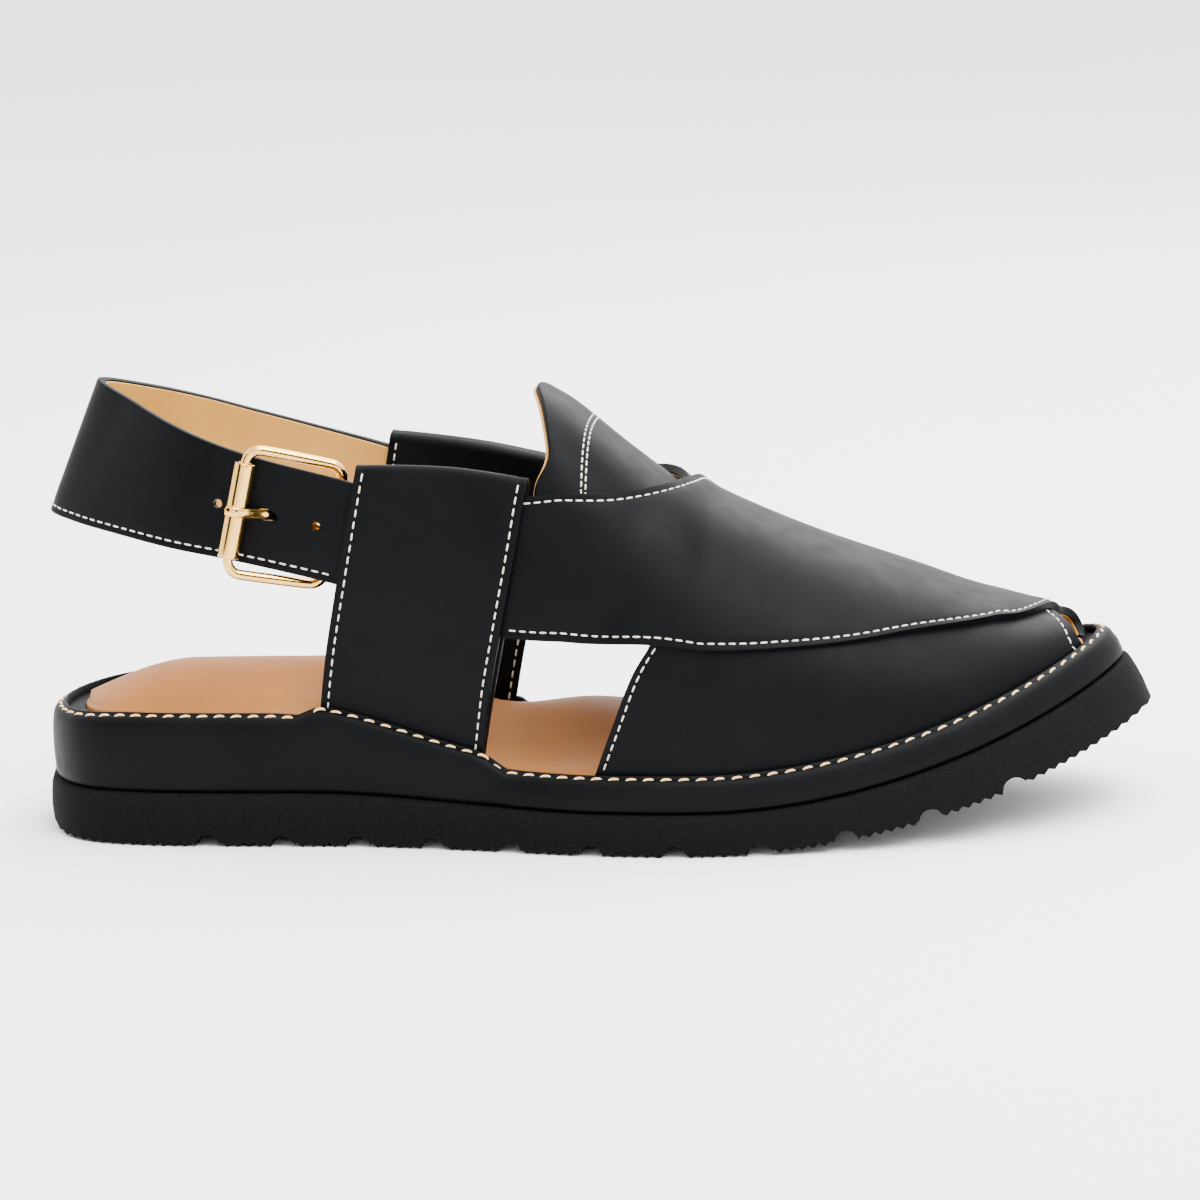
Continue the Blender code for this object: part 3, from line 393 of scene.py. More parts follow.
def dress(piece: bpy.types.Object, look: bpy.types.Material, slot: Slot, *nodes: str) -> bpy.types.Object:
    """Gives a piece its finish and ties it to the shoe.

    Args:
        piece: the piece, at the origin.
        look: its material.
        slot: the part's material slot that it belongs to; not used.
        nodes: CAD nodes that it stands for.

    Returns:
        The piece.
    """
    piece.data.materials.clear()
    piece.data.materials.append(look)
    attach(piece, "root")
    if nodes:
        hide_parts(*nodes)
    LOG.info("%s: %d faces", piece.name, len(piece.data.polygons))
    return piece


def piece_from(name: str, points: Sequence, faces: Sequence) -> bpy.types.Object:
    """Object from points and faces, with faces pointing out and smooth shading.

    Args:
        name: its name.
        points: places of its vertices.
        faces: rows of vertex numbers.

    Returns:
        The object, active and selected alone.
    """
    deselect()
    mesh = bpy.data.meshes.new(name)
    mesh.from_pydata([tuple(p) for p in points], [], [tuple(f) for f in faces])
    made = bpy.data.objects.new(name, mesh)
    bpy.context.scene.collection.objects.link(made)
    made.select_set(True)
    bpy.context.view_layer.objects.active = made
    bpy.ops.object.mode_set(mode="EDIT")
    bpy.ops.mesh.select_all(action="SELECT")
    bpy.ops.mesh.remove_doubles(threshold=0.001 * MM)
    bpy.ops.mesh.normals_make_consistent(inside=False)
    bpy.ops.object.mode_set(mode="OBJECT")
    bpy.ops.object.shade_smooth()
    return made


def finish_edges(piece: bpy.types.Object, width: float, angle: float, levels: int) -> None:
    """Rounds a piece's edges with a bevel, then smooths it with a subdivision.

    Args:
        piece: the piece.
        width: width of the bevel, 0 for none.
        angle: edges sharper than this are rounded, in degrees.
        levels: subdivision levels.
    """
    deselect()
    piece.select_set(True)
    bpy.context.view_layer.objects.active = piece
    if width:
        bevel = piece.modifiers.new("Rounded edge", "BEVEL")
        bevel.width = width
        bevel.segments = 2
        bevel.limit_method = "ANGLE"
        bevel.angle_limit = math.radians(angle)
        bpy.ops.object.modifier_apply(modifier=bevel.name)
    if levels:
        smoother = piece.modifiers.new("Smooth", "SUBSURF")
        smoother.levels = levels
        smoother.render_levels = levels
        bpy.ops.object.modifier_apply(modifier=smoother.name)
    bpy.ops.object.shade_smooth()


# Sole


class OutlineRow(NamedTuple):
    """Sole's half widths at a share of its length."""

    along: float
    lateral: float
    medial: float


class RimRow(NamedTuple):
    """Place on the wrapped rim's section."""

    inset: float
    drop: float


class CrownRow(NamedTuple):
    """Padding of the footbed, and where it rises and ebbs, in shares of the sole's length."""

    rise: float
    rises_from: float
    full_from: float
    ebbs_from: float
    ends: float
    skew: float
    fullness: float


OUTLINE = [
    OutlineRow(0.000, 0.00, 0.00),
    OutlineRow(0.012, 0.31, 0.31),
    OutlineRow(0.045, 0.545, 0.535),
    OutlineRow(0.105, 0.66, 0.64),
    OutlineRow(0.190, 0.70, 0.67),
    OutlineRow(0.300, 0.73, 0.65),
    OutlineRow(0.400, 0.83, 0.67),
    OutlineRow(0.500, 0.955, 0.77),
    OutlineRow(0.590, 1.00, 0.91),
    OutlineRow(0.680, 0.96, 0.99),
    OutlineRow(0.765, 0.86, 1.00),
    OutlineRow(0.845, 0.70, 0.94),
    OutlineRow(0.910, 0.48, 0.84),
    OutlineRow(0.960, 0.22, 0.70),
    OutlineRow(0.990, -0.03, 0.47),
    OutlineRow(1.000, -0.21, 0.21),
]
CROWN = [
    CrownRow(8.9 * MM, 0.000, 0.135, 0.262, 0.428, 1.0, 0.7),
    CrownRow(6.5 * MM, 0.220, 0.360, 0.461, 0.633, 1.9, 1.2),
    CrownRow(3.5 * MM, 0.380, 0.500, 0.560, 0.750, 2.2, 1.2),
    CrownRow(1.2 * MM, 0.428, 0.560, 0.859, 0.992, 1.0, 1.0),
]
RIM = [
    RimRow(0.05 * MM, 3.4 * MM),
    RimRow(0.35 * MM, 1.9 * MM),
    RimRow(1.0 * MM, 0.85 * MM),
    RimRow(1.7 * MM, 0.35 * MM),
    RimRow(2.3 * MM, 0.25 * MM),
    RimRow(2.8 * MM, 0.0 * MM),
    RimRow(3.3 * MM, -0.5 * MM),
    RimRow(3.8 * MM, -0.4 * MM),
    RimRow(4.2 * MM, 0.3 * MM),
]


@dataclass
class SolePlan:
    """The sole's outline, drawn flat, and the arc that springs its toe."""

    length: float = 301.5 * MM
    ball_width: float = 104 * MM
    heel_back_x: float = -149 * MM
    toe_tip_y: float = 13 * MM
    spring_start_x: float = 32 * MM
    spring_radius: float = 268 * MM
    heel_thickness: float = 14.2 * MM
    waist_thickness: float = 11.0 * MM
    toe_thickness: float = 14.0 * MM
    rim_heel: float = 20.6 * MM
    rim_forefoot: float = 9.2 * MM
    rim_back_dip: float = 1.6 * MM
    wrap_inset: float = 1.7 * MM
    rim_width: float = 4.4 * MM
    ledge_width: float = 4.4 * MM
    ledge_margin: float = 1.4 * MM
    ledge_drop: float = 1.6 * MM

    def __post_init__(self) -> None:
        """Lays out the outline's rows once."""
        half = self.ball_width / 2
        self.rows = [np.array((self.along(r.along), -r.lateral * half, r.medial * half)) for r in OUTLINE]
        self.rows[-1][1:] = self.toe_tip_y
        self.before, self.after = self.rows[1][[0, 2, 1]], self.rows[-2][[0, 2, 1]]

    @property
    def rim_inner(self) -> float:
        """Inset of the rim's inner side."""
        return self.wrap_inset + self.rim_width

    @property
    def recess(self) -> float:
        """Inset of the footbed's recess."""
        return self.rim_inner + self.ledge_width

    def along(self, share: float) -> float:
        """Place along at a share of the sole's length from the heel."""
        return self.heel_back_x + share * self.length

    def outline(self, share: float) -> np.ndarray:
        """Flat place along, and lateral and medial place of the edge, at a share of the way to the toe."""
        return through(self.rows, share, self.before, self.after)

    def edge(self, share: float, side: Side, inset: float) -> tuple[float, float]:
        """Flat place on the outline, moved inwards along its normal.

        Args:
            share: way from heel to toe.
            side: side of the foot.
            inset: distance inwards.

        Returns:
            Places along and across.
        """
        step = 1e-4
        low, high = max(share - step, 0.0), min(share + step, 1.0)
        column = 1 if side is Side.LATERAL else 2
        here, behind, beyond = self.outline(share), self.outline(low), self.outline(high)
        run, rise = beyond[0] - behind[0], beyond[column] - behind[column]
        length = math.hypot(run, rise)
        ahead, inwards = rise / length * inset, run / length * inset
        return here[0] + side.value * ahead, here[column] - side.value * inwards

    def share_at(self, x: float) -> float:
        """Share along the outline at which its flat place along is x."""
        low, high = 0.0, 1.0
        for _ in range(40):
            middle = (low + high) / 2
            if self.outline(middle)[0] < x:
                low = middle
            else:
                high = middle
        return (low + high) / 2

    def sprung(self, x: float, y: float, height: float) -> np.ndarray:
        """Real place of a point that is drawn on the flat sole."""
        if x <= self.spring_start_x:
            return np.array((x, y, height))
        turn = (x - self.spring_start_x) / self.spring_radius
        reach = self.spring_radius - height
        ahead, up = reach * math.sin(turn), self.spring_radius - reach * math.cos(turn)
        return np.array((self.spring_start_x + ahead, y, up))

    def thickness(self, x: float) -> float:
        """Thickness of the outsole at a flat place along."""
        waist = smooth(-78 * MM, 6 * MM, x)
        toe = smooth(30 * MM, 150 * MM, x)
        thick = self.heel_thickness + (self.waist_thickness - self.heel_thickness) * waist
        return thick + (self.toe_thickness - self.waist_thickness) * toe

    def rim(self, x: float) -> float:
        """Height of the rim's top at a flat place along."""
        drop = smooth(-84 * MM, -14 * MM, x)
        dip = self.rim_back_dip * (1 - smooth(self.heel_back_x, self.heel_back_x + 30 * MM, x))
        return self.thickness(x) + self.rim_heel + (self.rim_forefoot - self.rim_heel) * drop - dip

    def ledge(self, side: Side) -> np.ndarray:
        """Real places along the ledge where the straps' inner faces stand, from heel to toe."""
        spots = []
        for i in range(241):
            x, y = self.edge(i / 240, side, self.recess - self.ledge_margin)
            spots.append(self.sprung(x, y, self.rim(x) - self.ledge_drop + FIT + 0.2 * MM))
        return np.array(spots)


class RingStack:
    """Collects closed rings of points round the sole, and the faces between them."""

    def __init__(self, plan: SolePlan, shares: Sequence[float]) -> None:
        """Starts an empty stack.

        Args:
            plan: the sole's plan.
            shares: stations from heel to toe.
        """
        self.plan = plan
        self.shares = list(shares)
        self.points: list[np.ndarray] = []
        self.faces: list[tuple[int, ...]] = []
        self.rings: list[list[int]] = []

    def ring(self, inset: float, height: Callable[[float, Side], float]) -> None:
        """Adds a ring, and a band of faces to the one before it.

        Args:
            inset: distance inside the outline.
            height: height at a flat place along, on a side.
        """
        spots = [(self.plan.edge(s, Side.LATERAL, inset), Side.LATERAL) for s in self.shares]
        spots += [(self.plan.edge(s, Side.MEDIAL, inset), Side.MEDIAL) for s in self.shares[-2:0:-1]]
        start = len(self.points)
        self.points += [self.plan.sprung(x, y, height(x, side)) for (x, y), side in spots]
        made = list(range(start, len(self.points)))
        if self.rings:
            last = self.rings[-1]
            for i in range(len(made)):
                j = (i + 1) % len(made)
                self.faces.append((last[i], last[j], made[j], made[i]))
        self.rings.append(made)

    def cover(self, k: int, inset: float, height: Callable[[float, float], float], columns: int) -> None:
        """Closes a ring from side to side.

        Args:
            k: which ring.
            inset: its inset.
            height: height at a flat place along and a share across.
            columns: faces across.
        """
        loop, last = self.rings[k], len(self.shares) - 1
        rows = []
        for i in range(1, last):
            (lx, ly), (mx, my) = (self.plan.edge(self.shares[i], side, inset) for side in Side)
            row = [loop[i]]
            for j in range(1, columns):
                t = j / columns
                x, y = lx + (mx - lx) * t, ly + (my - ly) * t
                row.append(len(self.points))
                self.points.append(self.plan.sprung(x, y, height(x, t)))
            rows.append([*row, loop[-i]])
        for near, far in zip(rows, rows[1:]):
            for j in range(columns):
                self.faces.append((near[j], near[j + 1], far[j + 1], far[j]))
        for tip, row in ((loop[0], rows[0]), (loop[last], rows[-1])):
            for j in range(columns):
                self.faces.append((tip, row[j], row[j + 1]))


@dataclass
class StitchRow:
    """A row of stitches along a path: each stitch is one short length of thread, sunk at both ends."""

    name: str
    pitch: float = 2.7 * MM
    length: float = 2.0 * MM
    thread: float = 0.24 * MM
    slant: float = 0.0
    sides: int = 6

    def prototype(self) -> tuple[np.ndarray, list[tuple[int, ...]]]:
        """One stitch along X, with +Z away from the leather.

        Returns:
            Its points and faces.
        """
        deselect()
        bpy.ops.mesh.primitive_cylinder_add(
            vertices=self.sides, radius=self.thread, depth=self.length, end_fill_type="NOTHING"
        )
        made = bpy.context.object
        bpy.ops.object.mode_set(mode="EDIT")
        bpy.ops.mesh.select_all(action="SELECT")
        bpy.ops.transform.rotate(value=math.pi / 2, orient_axis="Y", center_override=(0, 0, 0))
        for k in range(3):
            bpy.ops.mesh.bisect(plane_co=((k - 1) * self.length / 3.4, 0, 0), plane_no=(1, 0, 0))
            bpy.ops.mesh.select_all(action="SELECT")
        bpy.ops.object.mode_set(mode="OBJECT")
        points = np.array([v.co for v in made.data.vertices], float)
        faces = [tuple(p.vertices) for p in made.data.polygons]
        mesh = made.data
        bpy.data.objects.remove(made)
        bpy.data.meshes.remove(mesh)
        sink = (np.abs(points[:, 0]) / (self.length / 2)) ** 3
        points[:, 2] -= sink * self.thread * 1.5
        return points, faces

    def build(self, paths: Sequence[Sequence[tuple[np.ndarray, np.ndarray]]]) -> bpy.types.Object:
        """Lays stitches along each path.

        Args:
            paths: lists of (place on the leather, outward normal).

        Returns:
            One mesh object.
        """
        shape, quads = self.prototype()
        points, faces = [], []
        for path in paths:
            for centre, ahead, out in self.spots(path):
                side = unit(np.cross(out, ahead))
                ahead = unit(ahead + side * self.slant)
                side = unit(np.cross(out, ahead))
                frame_ = np.array((ahead, side, unit(np.cross(ahead, side))))
                start = len(points)
                points += list(shape @ frame_ + centre)
                faces += [tuple(start + i for i in f) for f in quads]
        deselect()
        mesh = bpy.data.meshes.new(self.name)
        mesh.from_pydata([tuple(p) for p in points], [], faces)
        made = bpy.data.objects.new(self.name, mesh)
        bpy.context.scene.collection.objects.link(made)
        mesh.shade_smooth()
        return made

    def spots(
        self, path: Sequence[tuple[np.ndarray, np.ndarray]]
    ) -> list[tuple[np.ndarray, np.ndarray, np.ndarray]]:
        """Evenly spaced places on a path, with their directions ahead and out."""
        places = np.array([p for p, _ in path])
        outs = np.array([n for _, n in path])
        steps = np.linalg.norm(np.diff(places, axis=0), axis=1)
        reach = np.concatenate(([0], np.cumsum(steps)))
        count = max(int(reach[-1] / self.pitch), 1)
        made = []
        for k in range(count):
            at = (k + 0.5) * reach[-1] / count
            spot, near, far = (
                np.array([np.interp(np.clip(at + d, 0, reach[-1]), reach, places[:, c]) for c in range(3)])
                for d in (0, -self.length / 2, self.length / 2)
            )
            out = unit(np.array([np.interp(at, reach, outs[:, c]) for c in range(3)]))
            ahead = unit(far - near)
            out = unit(out - ahead * np.dot(out, ahead))
            made.append((spot + out * self.thread * 0.35, ahead, out))
        return made


@dataclass
class SoleUnit:
    """Outsole with its tread, leather-wrapped midsole, footbed, and the stitched rim."""

    plan: SolePlan
    stations: int = 110
    flare: float = 0.8 * MM
    edge: float = 1.2 * MM
    widest: float = 0.45
    heel_bevel_length: float = 9 * MM
    heel_bevel_rise: float = 3.0 * MM
    channel_width: float = 6.4 * MM
    channel_depth: float = 3.2 * MM
    first_channel: float = -100.5 * MM
    channels: int = 11
    heel_pitch: float = 20.4 * MM
    toe_pitch: float = 22.2 * MM
    tooth_pitch: float = 2.9 * MM
    tooth_depth: float = 1.3 * MM
    footbed_thickness: float = 3.6 * MM
    footbed_drop: float = 0.4 * MM
    footbed_round: float = 0.9 * MM
    rim_lift: float = 3.5 * MM
    lift_span: tuple[float, float, float, float] = (-74.5 * MM, -68.5 * MM, -26 * MM, -19 * MM)
    crease_span: tuple[float, float, float, float] = (-86 * MM, -66 * MM, -44 * MM, -14 * MM)
    crease_waves: tuple[float, float] = (5.2 * MM, 8.3 * MM)
    crease_depth: float = 0.22 * MM
    stitch_inset: float = 2.3 * MM
    stitch_sink: float = 0.2 * MM

    def channel_places(self) -> list[float]:
        """Flat places along of the channels' middles."""
        places = [self.first_channel]
        for k in range(1, self.channels):
            wider = (self.toe_pitch - self.heel_pitch) * smooth(3, 6, k)
            places.append(places[-1] + self.heel_pitch + wider)
        return places

    def tread(self, x: float) -> float:
        """Height of the outsole's underside: bevelled heel, arched channels, and teeth between them."""
        behind = 1 - (x - self.plan.heel_back_x) / self.heel_bevel_length
        bevel = self.heel_bevel_rise * max(0.0, behind) ** 2
        half = self.channel_width / 2
        for place in self.channel_places():
            away = abs(x - place)
            if away < half:
                return bevel + self.channel_depth * math.sqrt(1 - (away / half) ** 2)
        first = self.first_channel - half
        teeth = (x - first) / self.tooth_pitch
        wave = abs(teeth - math.floor(teeth) - 0.5) * 2
        return bevel + self.tooth_depth * (1 - wave) ** 0.8

    def outsole(self, look: bpy.types.Material) -> bpy.types.Object:
        """Foamed outsole with channels and teeth.

        Args:
            look: its material.

        Returns:
            The piece.
        """
        plan, half = self.plan, self.channel_width / 2
        spans = self.channel_places()
        first = self.first_channel - half
        xs = [first + (k / 2) * self.tooth_pitch for k in range(-32, 180)]
        xs = [x for x in xs if plan.heel_back_x + 1.5 * MM < x < plan.along(1) - 0.6 * MM]
        xs = [x for x in xs if all(abs(x - c) > half for c in spans)]
        xs += [c - half * math.cos(math.pi * k / 8) for c in spans for k in range(9)]
        shares = [0.0, *(plan.share_at(x) for x in sorted(xs)), 1.0]
        body = RingStack(plan, shares)

        def at(share: float, drop: float = 0.0) -> Callable[[float, Side], float]:
            """Height function at a share of the thickness."""
            return lambda x, side: plan.thickness(x) * share - drop

        body.ring(self.flare / 2, lambda x, side: self.tread(x))
        body.ring(self.flare / 4, at(0.28))
        body.ring(0.0, at(self.widest))
        body.ring(self.flare / 8, at(0.7))
        body.ring(self.flare / 2, at(1.0, self.edge))
        body.ring(self.flare / 2 + self.edge * 0.35, at(1.0, self.edge * 0.3))
        body.ring(self.flare / 2 + self.edge, at(1.0))
        body.cover(0, self.flare / 2, lambda x, t: self.tread(x), 6)
        body.cover(6, self.flare / 2 + self.edge, lambda x, t: plan.thickness(x), 2)
        made = piece_from("outsole_tread", body.points, body.faces)
        bpy.ops.object.shade_smooth_by_angle(angle=math.radians(28))
        return dress(made, look, Slot.RUBBER, "outsole")

    def rim_top(self, x: float) -> float:
        """Height of the rim's top, pushed up where it is drawn over a side band's foot."""
        return self.plan.rim(x) + self.rim_lift * swell(self.lift_span, x)

    def wrap_crease(self, x: float, height: float, side: Side) -> float:
        """Depth of the wrap's soft creases below the bands, where the leather is drawn up.

        Args:
            x: flat place along.
            height: share of the wrap's height.
            side: side of the foot.

        Returns:
            A distance inwards.
        """
        short, long = self.crease_waves
        ripple = math.sin(x / short + height * 2.6) * 0.5 + math.sin(x / long - height * 1.7 + side.value)
        return self.crease_depth * swell(self.crease_span, x) * ripple * smooth(0.1, 0.6, height)

    def midsole(self, look: bpy.types.Material) -> bpy.types.Object:
        """Midsole wrapped in leather, its rim rounded and its wrap softly creased.

        Args:
            look: its material.

        Returns:
            The piece.
        """
        plan = self.plan
        shares = [i / self.stations for i in range(self.stations + 1)]
        body = RingStack(plan, shares)
        foot, top = 1.1 * MM, RIM[0].drop
        body.ring(plan.wrap_inset + foot, lambda x, side: plan.thickness(x) + FIT)
        body.ring(plan.wrap_inset + foot * 0.3, lambda x, side: plan.thickness(x) + FIT + foot * 0.3)
        body.ring(plan.wrap_inset, lambda x, side: plan.thickness(x) + FIT + foot)
        for share, bulge in ((0.2, 0.12), (0.38, 0.26), (0.56, 0.32), (0.72, 0.3), (0.86, 0.2)):
            start = len(body.points)
            body.ring(
                plan.wrap_inset - bulge * MM,
                lambda x, side, s=share: plan.thickness(x) + (self.rim_top(x) - top - plan.thickness(x)) * s,
            )
            for i in range(start, len(body.points)):
                x, y, _ = body.points[i]
                side = Side.LATERAL if y < 0 else Side.MEDIAL
                body.points[i][1] -= side.value * self.wrap_crease(x, share, side)
        for row in RIM:
            body.ring(plan.wrap_inset + row.inset, lambda x, side, d=row.drop: self.rim_top(x) - d)
        ledge = plan.ledge_drop

        def floor(x: float, side: Side = Side.LATERAL) -> float:
            """Height of the recess's floor."""
            return plan.rim(x) - self.footbed_drop - self.footbed_thickness - FIT

        body.ring(plan.rim_inner, lambda x, side: plan.rim(x) - ledge)
        body.ring(plan.recess, lambda x, side: plan.rim(x) - ledge)
        body.ring(plan.recess, floor)
        body.cover(0, plan.wrap_inset + foot, lambda x, t: plan.thickness(x) + FIT, 2)
        body.cover(len(body.rings) - 1, plan.recess, lambda x, t: floor(x), 2)
        made = piece_from("midsole_wrap", body.points, body.faces)
        bpy.ops.object.shade_smooth_by_angle(angle=math.radians(50))
        return dress(made, look, Slot.BLACK, "midsole")

    def crown(self, x: float, t: float) -> float:
        """Rise of the footbed over its edge at a flat place along and a share across."""
        rise, share = 0.0, (x - self.plan.heel_back_x) / self.plan.length
        for row in CROWN:
            there = swell((row.rises_from, row.full_from, row.ebbs_from, row.ends), share)
            rise += row.rise * there * abs(math.sin(math.pi * t**row.skew)) ** row.fullness
        return rise

    def footbed(self, look: bpy.types.Material) -> bpy.types.Object:
        """Padded leather footbed.

        Args:
            look: its material.

        Returns:
            The piece.
        """
        plan = self.plan
        body = RingStack(plan, [i / self.stations for i in range(self.stations + 1)])
        inset, curve = plan.recess + FIT, self.footbed_round

        def edge(x: float) -> float:
            """Height of the footbed's upper edge."""
            return plan.rim(x) - self.footbed_drop

        body.ring(inset, lambda x, side: edge(x) - self.footbed_thickness)
        for turn in (0.0, 0.25, 0.5, 0.75, 1.0):
            angle = turn * math.pi / 2
            body.ring(
                inset + curve * (1 - math.cos(angle)),
                lambda x, side, a=angle: edge(x) - curve * (1 - math.sin(a)),
            )
        body.cover(0, inset, lambda x, t: edge(x) - self.footbed_thickness, 2)
        body.cover(5, inset + curve, lambda x, t: edge(x) + self.crown(x, t), 22)
        made = piece_from("footbed", body.points, body.faces)
        bpy.ops.object.shade_smooth_by_angle(angle=math.radians(50))
        return dress(made, look, Slot.TAN, "insole")

    def rim_stitches(self, look: bpy.types.Material) -> bpy.types.Object:
        """Thick tan stitches on top of the rim, all round.

        Args:
            look: its thread.

        Returns:
            The piece.
        """
        plan = self.plan
        sides = []
        for side in Side:
            path = []
            for i in range(401):
                x, y = plan.edge(i / 400, side, plan.wrap_inset + self.stitch_inset)
                spot = plan.sprung(x, y, self.rim_top(x) - self.stitch_sink)
                path.append((spot, plan.sprung(x, y, 1) - plan.sprung(x, y, 0)))
            sides.append(path)
        loop = sides[0] + sides[1][::-1]
        row = StitchRow(
            "rim_stitches", pitch=4.6 * MM, length=3.0 * MM, thread=0.36 * MM, slant=0.22, sides=8
        )
        return dress(row.build([loop]), look, Slot.TAN)

    def build(self, palette: Palette) -> None:
        """Builds and dresses the sole.

        Args:
            palette: the shoe's finishes.
        """
        self.outsole(palette.rubber)
        self.midsole(palette.wrap)
        self.footbed(palette.footbed)
        self.rim_stitches(palette.tan_thread)


# Uppers


class LastRow(NamedTuple):
    """Section of the last, in shares of the shoe's sizes."""

    along: float
    crest: float
    fullness: float
    lean: float
    bulge: float


class RibRow(NamedTuple):
    """Rib across a vamp strap, girths counted from its own side band."""

    rear_along: float
    rear_girth: float
    front_along: float
    front_girth: float


class TongueRow(NamedTuple):
    """Rear and front edge of the tongue at a girth."""

    girth: float
    rear_along: float
    front_along: float


class BandRow(NamedTuple):
    """Rear and front edge of a side band."""

    rear_along: float
    front_along: float


class HeelRow(NamedTuple):
    """Top and low edge of the heel strap's inner face."""

    top_along: float
    top_wide: float
    top_high: float
    low_along: float
    low_wide: float
    low_high: float


class EntryRow(NamedTuple):
    """Top and low edge of the heel strap inside a side band."""

    top_along: float
    top_girth: float
    low_along: float
    low_girth: float


LAST = [
    LastRow(0.200, 0.824, 3.2, 0.00, 0.060),
    LastRow(0.300, 0.847, 3.2, 0.00, 0.060),
    LastRow(0.400, 0.863, 3.1, 0.00, 0.035),
    LastRow(0.482, 0.791, 3.0, 0.00, 0.014),
    LastRow(0.543, 0.672, 2.7, 0.00, 0.000),
    LastRow(0.600, 0.552, 2.45, 0.01, 0.000),
    LastRow(0.682, 0.432, 2.35, 0.03, 0.000),
    LastRow(0.769, 0.302, 2.3, 0.04, 0.000),
    LastRow(0.855, 0.155, 2.3, 0.04, 0.000),
    LastRow(0.902, 0.080, 2.2, 0.03, 0.000),
    LastRow(0.950, 0.010, 2.1, 0.01, 0.000),
]
RIBS = [
    RibRow(0.3800, 0.262, 0.3650, 0.135),
    RibRow(0.4580, 0.300, 0.4360, 0.142),
    RibRow(0.5085, 0.342, 0.5000, 0.162),
    RibRow(0.5468, 0.397, 0.5800, 0.215),
    RibRow(0.5745, 0.465, 0.6640, 0.252),
    RibRow(0.5880, 0.560, 0.7500, 0.294),
    RibRow(0.5890, 0.660, 0.8250, 0.358),
    RibRow(0.5730, 0.755, 0.8820, 0.440),
    RibRow(0.5450, 0.845, 0.9090, 0.600),
    RibRow(0.5270, 0.920, 0.9180, 0.800),
    RibRow(0.5085, 1.000, 0.9230, 1.000),
]
TONGUE = [
    TongueRow(0.255, 0.4610, 0.585),
    TongueRow(0.295, 0.4605, 0.600),
    TongueRow(0.320, 0.4623, 0.612),
    TongueRow(0.349, 0.4709, 0.624),
    TongueRow(0.373, 0.4740, 0.634),
    TongueRow(0.406, 0.4714, 0.645),
    TongueRow(0.450, 0.4670, 0.655),
    TongueRow(0.480, 0.4620, 0.659),
    TongueRow(0.500, 0.4570, 0.660),
]
BAND = [
    BandRow(0.2635, 0.4090),
    BandRow(0.2735, 0.4205),
    BandRow(0.2852, 0.4343),
    BandRow(0.2968, 0.4475),
    BandRow(0.3075, 0.4575),
]
HEEL = [
    HeelRow(0.0683, 0.000, 1.016, 0.0186, 0.000, 0.714),
    HeelRow(0.1028, 0.162, 0.984, 0.0445, 0.135, 0.705),
    HeelRow(0.1426, 0.295, 0.944, 0.0900, 0.262, 0.690),
    HeelRow(0.1834, 0.362, 0.905, 0.1390, 0.360, 0.670),
    HeelRow(0.2295, 0.389, 0.868, 0.2000, 0.403, 0.643),
]
ENTRY = [
    EntryRow(0.2966, 0.257, 0.2806, 0.146),
    EntryRow(0.3280, 0.253, 0.3130, 0.142),
    EntryRow(0.3600, 0.247, 0.3460, 0.136),
]


